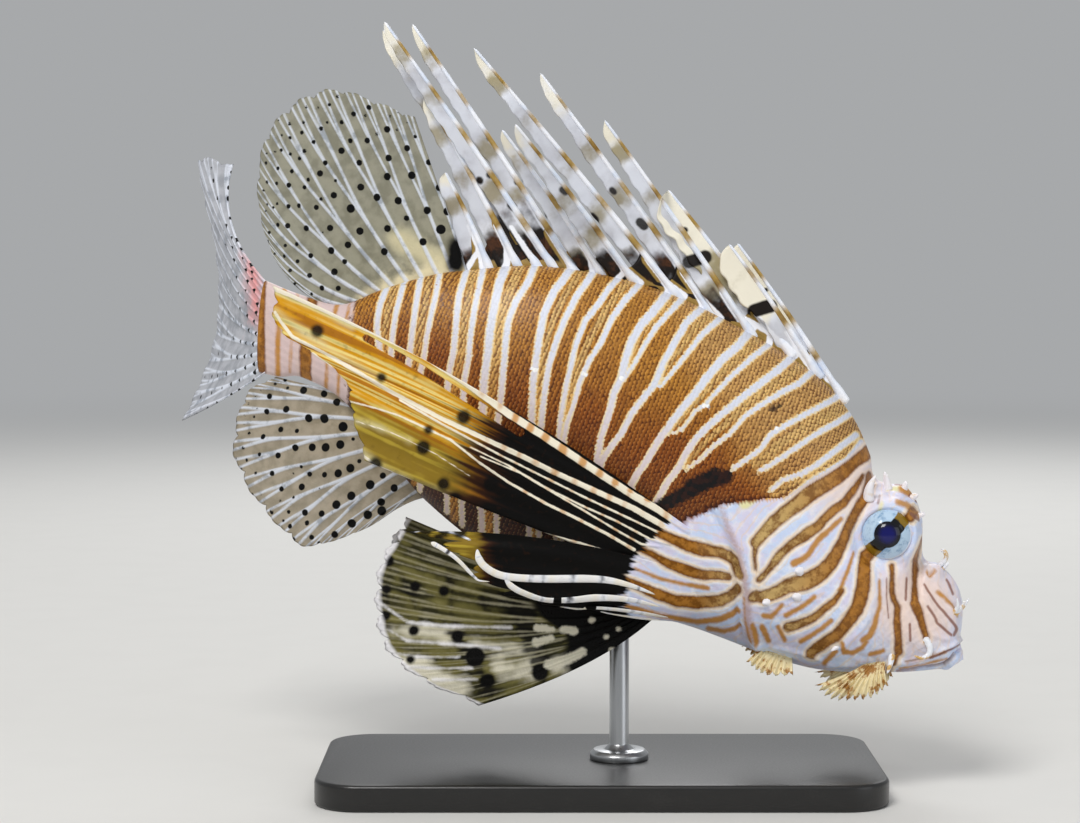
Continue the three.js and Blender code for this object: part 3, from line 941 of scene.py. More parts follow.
@dataclass(frozen=True)
class FacePaint:
    """White ground of the head and the fin base, with brown bands and fine lines."""

    cool: str = "#cfdefa"
    lilac: str = "#dcd8ef"
    cream: str = "#fdfaf6"
    rose: str = "#f0d8cc"
    tan: str = "#f0cfa2"
    tail: str = "#a98798"
    fold: str = "#bda4a8"
    band_edge: str = "#6b3a12"
    band_centre: str = "#b0762c"
    band_pale: str = "#d8c182"
    band_spot: str = "#74450f"
    line: str = "#bf842e"
    fine: str = "#84503a"
    yellow: str = "#e8e3b0"

    def colour(self, p: Paint) -> bpy.types.NodeSocket:
        """Colour over the fields dark, line, fine, yellow, rose, fold and gold.

        Args:
            p: the paint that the nodes go into.

        Returns:
            The colour.
        """
        ragged = p.noise(900, 2) * 0.4
        cloud = p.noise(130, 3)
        wrinkle = p.noise(1100, 3)
        dark = p.field("dark") + ragged + cloud * 1.2
        face = p.lay(self.cool, self.lilac, cloud + wrinkle * 0.4, -0.12, 0.16)
        face = p.lay(face, self.cream, p.noise(320, 3), 0.0, 0.25, 0.5)
        face = p.lay(face, self.cream, dark, 1.8, 0.4, 0.85)
        face = p.lay(face, self.tan, dark + wrinkle, 1.0, 0.3, 0.55)
        face = p.lay(face, self.tan, p.math("SINE", dark * 2.4 + cloud * 9), 0.5, 1.0, 0.3)
        face = p.mix(p.field("tail") * 0.8, face, self.tail)
        face = p.mix(p.field("rose"), face, self.rose)
        face = p.lay(face, self.fold, p.field("fold") + wrinkle * 2, 0.9, -1.2, 0.85)
        face = p.lay(face, self.yellow, p.field("yellow") + ragged, 0.6, -0.8)
        centre = p.mix(p.field("gold") * 0.6, self.band_centre, self.band_pale)
        centre = p.lay(centre, self.band_spot, p.noise(330, 4) + p.noise(1500, 2) * 0.3, -0.1, 0.16, 0.8)
        rim = p.lay(self.band_edge, self.band_spot, cloud, -0.1, 0.15)
        band = p.lay(rim, centre, dark + wrinkle * 2 + cloud * 2, 0.15, -1.3)
        face = p.lay(face, self.line, p.field("line") + ragged * 1.2 + cloud, 0.5, -0.55, 0.95)
        face = p.lay(face, band, dark, 0.5, -0.45)
        return p.lay(face, self.fine, p.field("fine") + ragged * 0.4, 0.25, -0.3, 0.85)


@dataclass(frozen=True)
class SkinFinish:
    """Brown flank with white stripes, and the white head with brown bands."""

    flank_low: str = "#451903"
    flank_middle: str = "#9c530e"
    flank_high: str = "#c98a2e"
    # Pale gold of the upper front flank, and the colour of the painted highlight on the scale tips
    flank_pale_and_highlight: str = "#dbab66"
    thin_bar: str = "#efc57a"
    thin_bar_low: str = "#d6963f"
    stripe_high: str = "#dfe3f1"
    stripe_low: str = "#e4cfcb"
    stripe_edge: str = "#f0dcae"
    black: str = "#060406"
    glint: str = "#ffffff"
    pink: str = "#ee8d8a"
    scale_root_shade: str = "#6d4832"
    roughness: float = 0.45
    depth: float = 0.00022
    face: FacePaint = FacePaint()

    def build(self, name: str, scaled: bool) -> bpy.types.Material:
        """Makes the finish.

        Args:
            name: the material's name.
            scaled: whether it dresses scales: painted shade at their roots, painted highlights at their
                tips.

        Returns:
            The material.
        """
        p = Paint(name)
        up, pale, white = p.field("up"), p.field("pale"), p.field("white")
        mottle = p.noise(420, 3)
        broad = p.noise(45, 2)
        ragged = p.noise(900, 2) * 0.4
        ground = p.lay(self.flank_low, self.flank_middle, up + broad * 0.35, 0.22, 0.58)
        ground = p.lay(ground, self.flank_high, up + broad * 0.35, 0.5, 0.85)
        ground = p.lay(ground, self.flank_pale_and_highlight, up + p.field("front") * 0.35 + broad * 0.3, 0.85, 1.15)
        ground = p.lay(ground, self.flank_low, mottle, 0.05, 0.3, 0.45)
        bar = p.lay(self.thin_bar, self.thin_bar_low, up, 0.75, 0.4)
        bar = p.lay(bar, self.flank_middle, mottle, 0.0, 0.25, 0.3)
        ground = p.lay(ground, bar, p.field("bar") + ragged, 0.35, -0.25)
        ground = p.mix(pale, ground, self.face.colour(p))
        edge = white + ragged
        stripe = p.lay(self.stripe_low, self.stripe_high, up + broad * 0.3, 0.35, 0.8)
        stripe = p.lay(stripe, self.stripe_edge, edge, -0.75, -0.3)
        ground = p.mix(p.step(edge, 0.0, -0.26) * (1 - pale), ground, stripe)
        ground = p.lay(ground, self.pink, p.field("pink"), 1.2, -1.2)
        # Black of the painted axil shadow over the pectoral root, and of the black spots on the flank
        ground = p.lay(ground, self.black, p.field("black") + ragged, 1.0, -0.6)
        # Painted highlights on single flank scales
        ground = p.lay(ground, self.glint, p.field("glint"), 0.2, -0.2)
        if scaled:
            tip = p.field("tip")
            # Painted shade on each scale's root, where the scale in front overlaps it; weaker on the white
            # stripes
            shade = p.step(tip + p.field("shade") * 0.2, 0.95, 0.45) * (p.step(edge, -0.1, 0.3) * 0.8 + 0.1)
            ground = p.mix(shade, ground, self.scale_root_shade, "MULTIPLY")
            # Painted highlight on each scale's tip, kept off the white stripes and the black
            tip_highlight = p.step(tip, 0.75, 1.0) * 0.26 * p.step(edge, 0.0, 0.3) * p.step(p.field("black"), 0.0, 1.5)
            ground = p.mix(tip_highlight, ground, self.flank_pale_and_highlight)
            dim = p.step(p.field("shade"), 0.3, 1.0) * p.step(edge, 0.0, 0.3) * 0.35
            ground = p.mix(dim, ground, self.flank_low)
        relief = p.noise(1900, 3) * 0.6 + p.noise(700, 2)
        return p.finish(
            Base_Color=ground, Roughness=p.noise(300, 2) * 0.2 + self.roughness, Coat_Weight=0.1,
            Coat_Roughness=0.2, Specular_IOR_Level=0.25, Normal=p.bump(relief, self.depth, 0.6),
        )


@dataclass(frozen=True)
class EyeFinish:
    """Glossy eye with a pale iris, a deep blue pupil and a bronze bar across it."""

    pupil: str = "#03075c"
    pupil_rim: str = "#01010e"
    iris: str = "#bfd8ee"
    iris_shade: str = "#7fa3c6"
    ring: str = "#f4f6fa"
    bronze: str = "#8a6c18"
    bronze_dark: str = "#050505"
    pupil_radius: float = 3.75
    iris_radius: float = 7.3

    def build(self) -> bpy.types.Material:
        """Makes the finish.

        Returns:
            The material.
        """
        p = Paint("lionfish_eye")
        polar, bar = p.field("polar"), p.field("bar")
        cloud = p.noise(330, 4)
        fibres = p.noise(1500, 2)
        iris = p.lay(self.iris, self.iris_shade, cloud + fibres * 0.4, -0.05, 0.25)
        iris = p.lay(iris, self.iris_shade, polar, self.pupil_radius + 0.9, self.pupil_radius, 0.5)
        iris = p.lay(iris, self.ring, polar + cloud * 0.8, self.iris_radius - 0.3, self.iris_radius + 0.3)
        low, high = self.pupil_radius + 2.1, self.pupil_radius + 1.5
        bronze = p.lay(self.bronze, self.bronze_dark, polar + cloud * 2, low, high)
        iris = p.lay(iris, bronze, bar + cloud * 0.8, 0.15, -0.15)
        iris = p.lay(iris, self.pupil_rim, polar, self.pupil_radius + 0.3, self.pupil_radius + 0.1)
        pupil = p.lay(self.pupil, self.pupil_rim, polar, self.pupil_radius - 2.4, self.pupil_radius - 0.2)
        colour = p.lay(iris, pupil, polar, self.pupil_radius + 0.08, self.pupil_radius - 0.08)
        return p.finish(
            Base_Color=colour, Roughness=0.25, Coat_Weight=0.7, Coat_Roughness=0.03, Specular_IOR_Level=0.1,
            Normal=p.bump(fibres * p.step(polar, self.pupil_radius, self.pupil_radius + 1), 0.00008),
        )


@dataclass(frozen=True)
class WebFinish:
    """Thin see-through skin between pale rays, with dark spots."""

    name: str
    web: str = "#a3a08c"
    web_shade: str = "#8a8773"
    ray: str = "#dde3ef"
    ray_shade: str = "#aab2bf"
    spot: str = "#060606"
    root: str = "#f1e6c0"
    cream: str = "#e6dcb4"
    blush: str = "#ea9a98"
    root_share: float = 0.1
    clear: float = 0.68

    def build(self) -> bpy.types.Material:
        """Makes the finish.

        Returns:
            The material.
        """
        p = Paint(self.name)
        ray, spot, reach = p.field("ray"), p.field("spot"), p.field("along")
        streak = p.noise(240, 3)
        fine = p.noise(1700, 2)
        web = p.lay(self.web, self.web_shade, streak, -0.15, 0.2)
        web = p.lay(web, self.cream, p.field("cream") + streak * 3, 2.0, -3.0, 0.8)
        web = p.lay(web, self.root, reach + streak * 0.2, self.root_share * 1.6, self.root_share * 0.5)
        pale = p.lay(self.ray, self.ray_shade, streak * 1.5 + fine * 0.2, 0.0, 0.25)
        inside = p.step(ray + fine * 0.15, 0.4, -0.24) * 0.85
        spotted = p.step(spot + streak * 0.3, 0.14, -0.14)
        colour = p.mix(inside, web, pale)
        colour = p.lay(colour, self.blush, p.field("pink") + streak * 8, 3.5, -3.5, 0.9)
        colour = p.lay(colour, self.spot, p.field("blotch") + streak * 3, 1.2, -1.8)
        colour = p.mix(spotted, colour, self.spot)
        shown = p.math("MAXIMUM", inside, spotted)
        shown = p.math("MAXIMUM", shown, p.step(p.field("blotch"), 1.0, -1.0))
        thick = p.step(reach, 0.6, 0.1) * 0.18 + p.step(reach, 0.97, 1.0) * 0.2
        alpha = shown * (1 - self.clear) + self.clear + thick
        return p.finish(
            Base_Color=colour, Roughness=0.45, Alpha=p.math("MINIMUM", alpha, 1.0),
            Specular_IOR_Level=0.12, Normal=p.bump(p.noise(1300, 2), 0.00012),
        )


@dataclass(frozen=True)
class PectoralFinish:
    """Amber and olive fin skin that darkens to black, then meets the banded white base."""

    amber: str = "#dd9f18"
    amber_pale: str = "#f7e08a"
    amber_deep: str = "#b5741a"
    olive: str = "#c2a83c"
    olive_deep: str = "#8f7424"
    cream: str = "#ece4ae"
    burnt: str = "#3a1c08"
    black: str = "#040302"
    ray: str = "#f5ecd6"
    ray_band: str = "#cf9040"
    white: str = "#f2f5ff"
    face: FacePaint = FacePaint()

    def build(self) -> bpy.types.Material:
        """Makes the finish.

        Returns:
            The material.
        """
        p = Paint("pectoral_skin")
        burn, lower, ray, streak = p.field("burn"), p.field("lower"), p.field("ray"), p.field("streak")
        cloud = p.noise(90, 3)
        fine = p.noise(500, 2)
        amber = p.lay(self.amber, self.amber_pale, streak + cloud, -0.1, 0.45)
        amber = p.lay(amber, self.amber_deep, streak + cloud, -0.15, -0.5)
        olive = p.lay(self.olive_deep, self.olive, streak + cloud * 2, -0.2, 0.5)
        web = p.lay(amber, olive, p.field("olive") + streak * 0.25 + cloud * 0.5, 0.2, 0.8)
        web = p.lay(web, self.cream, p.field("pale_rim") + cloud * 4, 1.5, -2.5)
        web = p.lay(web, self.burnt, burn + streak * 0.25 + cloud * 0.5, 0.05, 0.55)
        web = p.lay(web, self.black, burn + streak * 0.2 + cloud * 0.4, 0.35, 0.85)
        web = p.lay(web, self.burnt, fine, 0.08, 0.3, 0.3)
        pale = p.mix(lower, self.ray, self.white)
        pale = p.lay(pale, self.ray_band, p.field("band") + fine * 0.5 + cloud, 0.35, 0.95, 0.85)
        pale = p.lay(pale, self.black, p.field("bandblack") + fine * 0.3, 0.4, 0.6)
        inside = p.step(ray + fine * 0.35, 0.16, -0.14)
        colour = p.mix(inside, web, pale)
        spots = p.step(p.field("spot") + cloud, 0.9, -0.7)
        colour = p.mix(spots * 0.95, colour, self.black)
        base = p.step(p.field("base") + fine * 0.3 + streak * 0.3, 0.35, 0.65)
        colour = p.mix(base, colour, self.face.colour(p))
        shown = p.step(p.field("gap"), -0.2, 0.3)
        alpha = (p.math("MAXIMUM", inside, p.step(burn, 0.1, 0.5)) * 0.1 + 0.9) * shown
        return p.finish(
            Base_Color=colour, Roughness=0.5, Alpha=alpha, Specular_IOR_Level=0.12,
            Normal=p.bump(fine + cloud, 0.00015),
        )


@dataclass(frozen=True)
class PelvicFinish:
    """Dark olive fin skin with fine pale rays, smeared black bands and a black root with white spots."""

    web: str = "#6b6537"
    web_dark: str = "#2c2a14"
    web_pale: str = "#9a9263"
    ray: str = "#c9c2a2"
    cream: str = "#e9e3cd"
    black: str = "#050403"
    white: str = "#f6f4f8"

    def build(self) -> bpy.types.Material:
        """Makes the finish.

        Returns:
            The material.
        """
        p = Paint("pelvic_skin")
        cloud, streak, fine = p.noise(110, 3), p.field("streak"), p.noise(900, 2)
        web = p.lay(self.web_dark, self.web, cloud + streak * 0.2, -0.12, 0.15)
        web = p.lay(web, self.web_pale, cloud + streak * 0.3, 0.1, 0.4, 0.7)
        cream = p.step(p.field("pale_rim") + cloud * 10 + streak * 1.5, 1.5, -2.5)
        web = p.mix(cream * 0.85, web, self.cream)
        web = p.lay(web, self.black, p.field("smear") + cloud * 9 + streak * 1.2, 1.2, -1.8, 0.92)
        shown = p.step(p.field("burn"), 0.8, 0.3)
        rays = p.step(p.field("ray") + fine * 0.3 + cloud * 1.5, 0.45, -0.45)
        colour = p.mix(rays * shown * 0.6, web, self.ray)
        colour = p.lay(colour, self.white, p.field("line") + fine * 0.5 + cloud * 2, 0.6, -0.6, 0.8)
        colour = p.lay(colour, self.black, p.field("burn") + cloud, 0.35, 0.75)
        colour = p.lay(colour, self.black, p.field("spot") + cloud * 2, 0.7, -0.5)
        rim = p.step(p.field("along") + cloud * 0.03, 0.968, 0.985)
        colour = p.mix(rim * shown * 0.9, colour, self.white)
        colour = p.lay(colour, self.cream, p.field("white") + fine + cloud * 2, 0.5, -0.5, 0.9)
        return p.finish(
            Base_Color=colour, Roughness=0.5, Alpha=0.97, Specular_IOR_Level=0.12,
            Normal=p.bump(cloud + p.noise(1300, 2), 0.00012),
        )


@dataclass(frozen=True)
class SpineFinish:
    """White spines banded with amber and olive, each with a strip of clouded skin behind it."""

    shaft: str = "#f6f8ff"
    shaft_cool: str = "#dbe5f7"
    amber: str = "#ab8c48"
    umber: str = "#7a5a24"
    olive: str = "#85753a"
    skin: str = "#e6e9f2"
    skin_shade: str = "#c2c2ca"
    cream: str = "#f3eddb"
    brown: str = "#4a2a14"
    dark: str = "#140b06"

    def build(self) -> bpy.types.Material:
        """Makes the finish.

        Returns:
            The material.
        """
        p = Paint("spine_and_skin")
        rod, band, cream, low = p.field("rod"), p.field("band"), p.field("cream"), p.field("low")
        cloud = p.noise(160, 3)
        fine = p.noise(900, 2)
        skin = p.lay(self.skin, self.skin_shade, cloud + fine * 0.1, -0.15, 0.3, 0.8)
        skin = p.lay(skin, self.cream, cream + cloud * 0.8, 0.3, 0.7)
        skin = p.lay(skin, self.olive, band + cloud * 1.2 + fine * 0.2, 0.35, 1.05, 0.75)
        under = p.lay(self.dark, self.brown, cloud + fine * 0.4, 0.0, 0.25)
        skin = p.lay(skin, under, low + cloud * 0.9, 0.4, 0.8)
        skin = p.lay(skin, self.amber, p.field("amber") + cloud, 0.35, 0.9, 0.8)
        skin = p.lay(skin, self.shaft, p.field("white") + fine * 0.5, 0.25, -0.25)
        rods = p.lay(self.shaft, self.shaft_cool, cloud, -0.1, 0.2)
        rods = p.lay(rods, self.amber, band + fine * 0.3, 0.3, 1.05)
        rods = p.lay(rods, self.umber, band + cloud * 1.2, 0.9, 1.2, 0.8)
        colour = p.mix(rod, skin, rods)
        colour = p.lay(colour, self.dark, p.field("spot") + cloud, 0.5, -0.3)
        solid = p.math("MAXIMUM", rod, p.step(band * 0.4 + low + cream * 1.2, 0.1, 0.7))
        alpha = solid * 0.3 + 0.7
        return p.finish(
            Base_Color=colour, Roughness=0.42, Alpha=alpha, Specular_IOR_Level=0.25,
            Normal=p.bump(cloud, 0.00012),
        )


@dataclass(frozen=True)
class FlapFinish:
    """Soft frilled skin in cream and golden brown."""

    name: str = "frilled_skin"
    cream: str = "#ecdcae"
    brown: str = "#a8742c"
    dark: str = "#5c3a14"

    def build(self) -> bpy.types.Material:
        """Makes the finish.

        Returns:
            The material.
        """
        p = Paint(self.name)
        mottle = p.noise(700, 3)
        colour = p.lay(self.cream, self.brown, mottle + p.noise(250, 1), -0.02, 0.18)
        colour = p.lay(colour, self.dark, mottle, 0.16, 0.3)
        return p.finish(Base_Color=colour, Roughness=0.45, Coat_Weight=0.2, Normal=p.bump(mottle, 0.0003))


@dataclass(frozen=True)
class PlainFinish:
    """A made surface, or bare skin, with fine grain."""

    name: str
    colour: str
    worn: str
    roughness: float
    metallic: float = 0.0
    coat: float = 0.0
    grain: float = 900.0
    stretch: Optional[tuple] = None
    depth: float = 0.00003

    def build(self) -> bpy.types.Material:
        """Makes the finish.

        Returns:
            The material.
        """
        p = Paint(self.name)
        grain = p.noise(self.grain, 3, self.stretch)
        colour = p.lay(self.colour, self.worn, grain + p.noise(self.grain / 12, 2), 0.0, 0.5)
        return p.finish(
            Base_Color=colour, Roughness=grain * 0.15 + self.roughness, Metallic=self.metallic,
            Coat_Weight=self.coat, Normal=p.bump(grain, self.depth),
        )


# Meshes


def grid_object(name: str, columns: int, rows: int, shape: Shape) -> bpy.types.Object:
    """Object from a flat grid that a function bends into place.

    Args:
        name: the object's name.
        columns: steps across.
        rows: steps along.
        shape: places in metres from the shares across and along.

    Returns:
        The object, whose points keep their shares as the fields across and along.
    """
    bm = bmesh.new()
    bm.loops.layers.uv.new(COAT_MAP)
    bmesh.ops.create_grid(bm, x_segments=columns, y_segments=rows, size=0.5, calc_uvs=True)
    shares = np.array([v.co[:2] for v in bm.verts]) + 0.5
    places = shape(shares[:, 0], shares[:, 1])
    across = bm.verts.layers.float.new("across")
    along = bm.verts.layers.float.new("along")
    for vert, place, share in zip(bm.verts, places, shares):
        vert.co = place
        vert[across] = share[0]
        vert[along] = share[1]
    bmesh.ops.remove_doubles(bm, verts=bm.verts, dist=MERGE)
    bmesh.ops.recalc_face_normals(bm, faces=bm.faces)
    return object_from(name, bm)


def object_from(name: str, bm: bmesh.types.BMesh) -> bpy.types.Object:
    """Smooth shaded object in the scene, made from a bmesh that is then freed.

    Args:
        name: the object's name.
        bm: the bmesh.

    Returns:
        The object.
    """
    mesh = bpy.data.meshes.new(name)
    bm.to_mesh(mesh)
    bm.free()
    mesh.shade_smooth()
    made = bpy.data.objects.new(name, mesh)
    bpy.context.scene.collection.objects.link(made)
    return made


def read(piece: bpy.types.Object, field: str) -> Array:
    """Values of a field on the points of a piece.

    Args:
        piece: the object.
        field: the field's name.

    Returns:
        The values.
    """
    values = np.empty(len(piece.data.vertices), np.float32)
    piece.data.attributes[field].data.foreach_get("value", values)
    return values.astype(float)


def store(piece: bpy.types.Object, **fields: Array) -> None:
    """Gives the points of a piece named numbers.

    Args:
        piece: the object.
        fields: a number for each point, or one for all, by field name.
    """
    for name, values in fields.items():
        layer = piece.data.attributes.get(name) or piece.data.attributes.new(name, "FLOAT", "POINT")
        count = len(piece.data.vertices)
        layer.data.foreach_set("value", np.broadcast_to(values, count).astype(np.float32))


def places_of(piece: bpy.types.Object) -> Array:
    """Places of the points of a piece.

    Args:
        piece: the object.

    Returns:
        The places in metres.
    """
    flat = np.empty(len(piece.data.vertices) * 3, np.float32)
    piece.data.vertices.foreach_get("co", flat)
    return flat.reshape(-1, 3).astype(float)


def joined(name: str, pieces: Sequence[bpy.types.Object]) -> bpy.types.Object:
    """One object from several, with all their fields.

    Args:
        name: its name.
        pieces: the objects.

    Returns:
        The joined object.
    """
    first = pieces[0]
    with bpy.context.temp_override(active_object=first, selected_editable_objects=list(pieces)):
        bpy.ops.object.join()
    first.name = name
    first.data.name = name
    return first


def tube(name: str, path: Array, radii: Array, sides: int = 10) -> bpy.types.Object:
    """Round closed tube along a path.

    Args:
        name: the object's name.
        path: points in metres, close together.
        radii: radius at each point in metres, 0 at both ends.
        sides: steps round it.

    Returns:
        The object.
    """
    ahead = unit(np.gradient(path, axis=0))
    helper = np.array([0.3, 0.9, 0.2])
    side = unit(np.cross(ahead, helper))
    over = np.cross(side, ahead)

    def shape(across: Array, along: Array) -> Array:
        """Places of the tube's wall.

        Args:
            across: shares across the grid.
            along: shares along the grid.

        Returns:
            Places in metres.
        """
        i = np.rint(along * (len(path) - 1)).astype(int)
        turn = across * 2 * math.pi
        ring = side[i] * np.cos(turn)[:, None] + over[i] * np.sin(turn)[:, None]
        return path[i] + ring * radii[i][:, None]

    return grid_object(name, sides, len(path) - 1, shape)


def settle(piece: bpy.types.Object, slot: str, material: bpy.types.Material,
           *nodes: str) -> bpy.types.Object:
    """Dresses a piece and ties it to the frame.

    Args:
        piece: the finished object.
        slot: the name of a material slot; not used.
        material: its finish.
        nodes: the CAD nodes that it stands for.

    Returns:
        The piece.
    """
    piece.data.materials.clear()
    piece.data.materials.append(material)
    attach(piece, BODY)
    if nodes:
        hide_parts(*nodes)
    LOG.info("%s: %d faces", piece.name, len(piece.data.polygons))
    return piece


# Skin, scales and the head's small parts


@dataclass(frozen=True)
class Eye:
    """One eye: where it sits, how large it is and where it looks."""

    radius: float = 8.5
    along: float = 87.3
    aside: float = 11.8
    height: float = 15.4
    forward_look: float = 0.10
    upward_look: float = 0.04
    iris_off: float = 0.35
    bar_half_width: float = 2.25
    bar_turn: float = math.radians(68)
    rim_radius: float = 8.05
    rim_height: float = 4.6
    rim_slope: tuple = (1.0, 0.1)
    tuck: float = 1.2
    fold_radius: float = 12.8
    fold_edge: float = 0.2
    creases: tuple = ((1.6, 0.5), (3.1, 0.3))
    crease_width: float = 0.5
    iris_sunk: float = 0.15
    bulge: float = 0.25
    bulge_slope: tuple = (5.2, 2.6)
    groove: float = 0.05
    groove_at: float = 4.3
    groove_width: float = 0.5
    crowding: float = 1.25
    columns: int = 96
    rows: int = 64

    def centre(self, side: Side) -> Array:
        """Centre of the ball in the fish's frame."""
        return FLESH.point(self.along, self.aside * side.value, self.height)

    def axis(self, side: Side) -> Array:
        """Unit vector from the centre out through the pupil."""
        out = FLESH.left(self.along) * side.value + FLESH.ahead(self.along) * self.forward_look
        return unit(out + np.array([0, 0, self.upward_look]))

    def socket(self, points: Array, side: Side) -> Array:
        """Moves skin points in or out along the eye's axis, to a rim round the ball.

        Args:
            points: skin points in the fish's frame.
            side: which side of the fish.

        Returns:
            The moved points.
        """
        axis = self.axis(side)
        off = points - self.centre(side)
        depth = off @ axis
        flat = off - depth[:, None] * axis
        spread = np.linalg.norm(flat, axis=1)
        ball = np.sqrt(np.maximum(self.radius**2 - spread**2, 0.0))
        inner = ball - self.tuck
        low, high = (self.rim_radius - edge for edge in self.rim_slope)
        lift = smooth(spread, low, high)
        target = inner * (1 - lift) + self.rim_height * lift
        share = smooth(spread, self.fold_radius, self.rim_radius + self.fold_edge)
        share = np.where(depth > -self.radius, share, 0.0)
        off_rim = spread - self.rim_radius
        crease = -sum(deep * dip(off_rim, place, self.crease_width) for place, deep in self.creases)
        moved = depth + share * (target + crease - depth)
        return points + (moved - depth)[:, None] * axis

    def build(self, side: Side, finish: bpy.types.Material) -> bpy.types.Object:
        """Makes the ball, with its lens a little proud of the iris.

        Args:
            side: which side of the fish.
            finish: the material.

        Returns:
            The object.
        """
        axis, centre = self.axis(side), self.centre(side)
        over = unit(np.array([0.0, 0.0, 1.0]) - axis * axis[2])
        aside = np.cross(over, axis)

        def shape(across: Array, along: Array) -> Array:
            """Places of the ball's surface, from the pupil back.

            Args:
                across: shares across the grid.
                along: shares along the grid.

            Returns:
                Places in metres.
            """
            polar = along**self.crowding * math.pi
            turn = across * 2 * math.pi
            arc = polar * self.radius
            groove = self.groove * dip(arc, self.groove_at, self.groove_width)
            bulge = self.bulge * smooth(arc, *self.bulge_slope) - groove
            reach = (self.radius - self.iris_sunk + bulge)[:, None]
            ring = np.cos(turn)[:, None] * aside + np.sin(turn)[:, None] * over
            out = np.cos(polar)[:, None] * axis + np.sin(polar)[:, None] * ring
            return POSE.world(centre + out * reach)

        ball = grid_object(f"eye_{side.label}", self.columns, self.rows, shape)
        off = POSE.fish(places_of(ball)) - centre
        level = np.stack([off @ aside * -side.value, off @ over], 1)
        facing = (off @ axis) > 0
        polar = np.hypot(level[:, 0] + self.iris_off, level[:, 1])
        bar_line = np.array([math.cos(self.bar_turn), math.sin(self.bar_turn)])
        beside = level[:, 0] * -bar_line[1] + level[:, 1] * bar_line[0]
        store(ball, polar=np.where(facing, polar, FAR),
              bar=np.where(facing, np.abs(beside) - self.bar_half_width, FAR))
        return settle(ball, "eye", finish, f"eye_{side.label}")


EYE = Eye()


# Where the white ground of the head and of the tail root ends: rows of the photo, and the columns there
HEAD_EDGE = (
    (415, 430, 442, 459, 471, 482, 498, 505, 515, 530, 545, 640),
    (880, 869, 863, 848, 829, 810, 785, 722, 700, 668, 645, 620),
)
TAIL_EDGE = ((280, 320, 380, 440), (357, 353, 349, 349))

# Rosy parts of the head: their middle, where they start and are full in pixels from it, and how strong
ROSE_CLOUDS = (((915, 608), 62, 22, 0.9), ((845, 480), 60, 15, 0.7))


def pale_share(pixels: Array) -> Array:
    """How far the skin at pixels is the white ground of the head, the fin base or the tail root.

    Args:
        pixels: places in the photo.

    Returns:
        Shares from 0 to 1.
    """
    across, down = pixels.T
    head_edge, tail_edge = np.interp(down, *HEAD_EDGE), np.interp(down, *TAIL_EDGE)
    return np.maximum(smooth(across - head_edge, -2, 3), smooth(tail_edge - across, -1, 2))


def face_fields(pixels: Array) -> dict:
    """Fields of the white ground and what is drawn on it.

    Args:
        pixels: places in the photo.

    Returns:
        Fields by name.
    """
    across, down = pixels.T
    rose = 0.6 * smooth(across, 360, 345)
    for (x, y), start, full, most in ROSE_CLOUDS:
        rose = np.maximum(rose, most * smooth(np.hypot(across - x, down - y), start, full))
    return {
        "dark": nearest(BROWN_BANDS, pixels),
        "line": nearest(THIN_LINES, pixels),
        "fine": nearest(FINE_LINES, pixels),
        "yellow": nearest(YELLOW_PATCHES, pixels),
        "fold": nearest(FOLD_SHADES, pixels),
        "gold": smooth(across, 850, 770) * smooth(across, 690, 740),
        "rose": rose,
        "tail": smooth(across, 362, 346),
    }


def markings(pixels: Array, t: Array, v: Array) -> dict:
    """Fields that paint the skin and the scales alike.

    Args:
        pixels: where the points, or their mirrored twins, show on the right side.
        t: places along the body.
        v: heights.

    Returns:
        Signed distances in millimetres and shares, by field name.
    """
    return {
        **face_fields(pixels),
        "white": nearest(WHITE_STRIPES, pixels),
        "bar": nearest(THIN_BARS, pixels),
        "black": nearest(AXIL_SHADOW_AND_BLACK_SPOTS, pixels),
        "glint": nearest(GLINTS, pixels),
        "pink": nearest(PINK_PATCHES, pixels),
        "pale": pale_share(pixels),
        "front": smooth(pixels[:, 0], 640, 780),
        "up": np.clip(FLESH.height_share(t, v), 0, 1),
    }


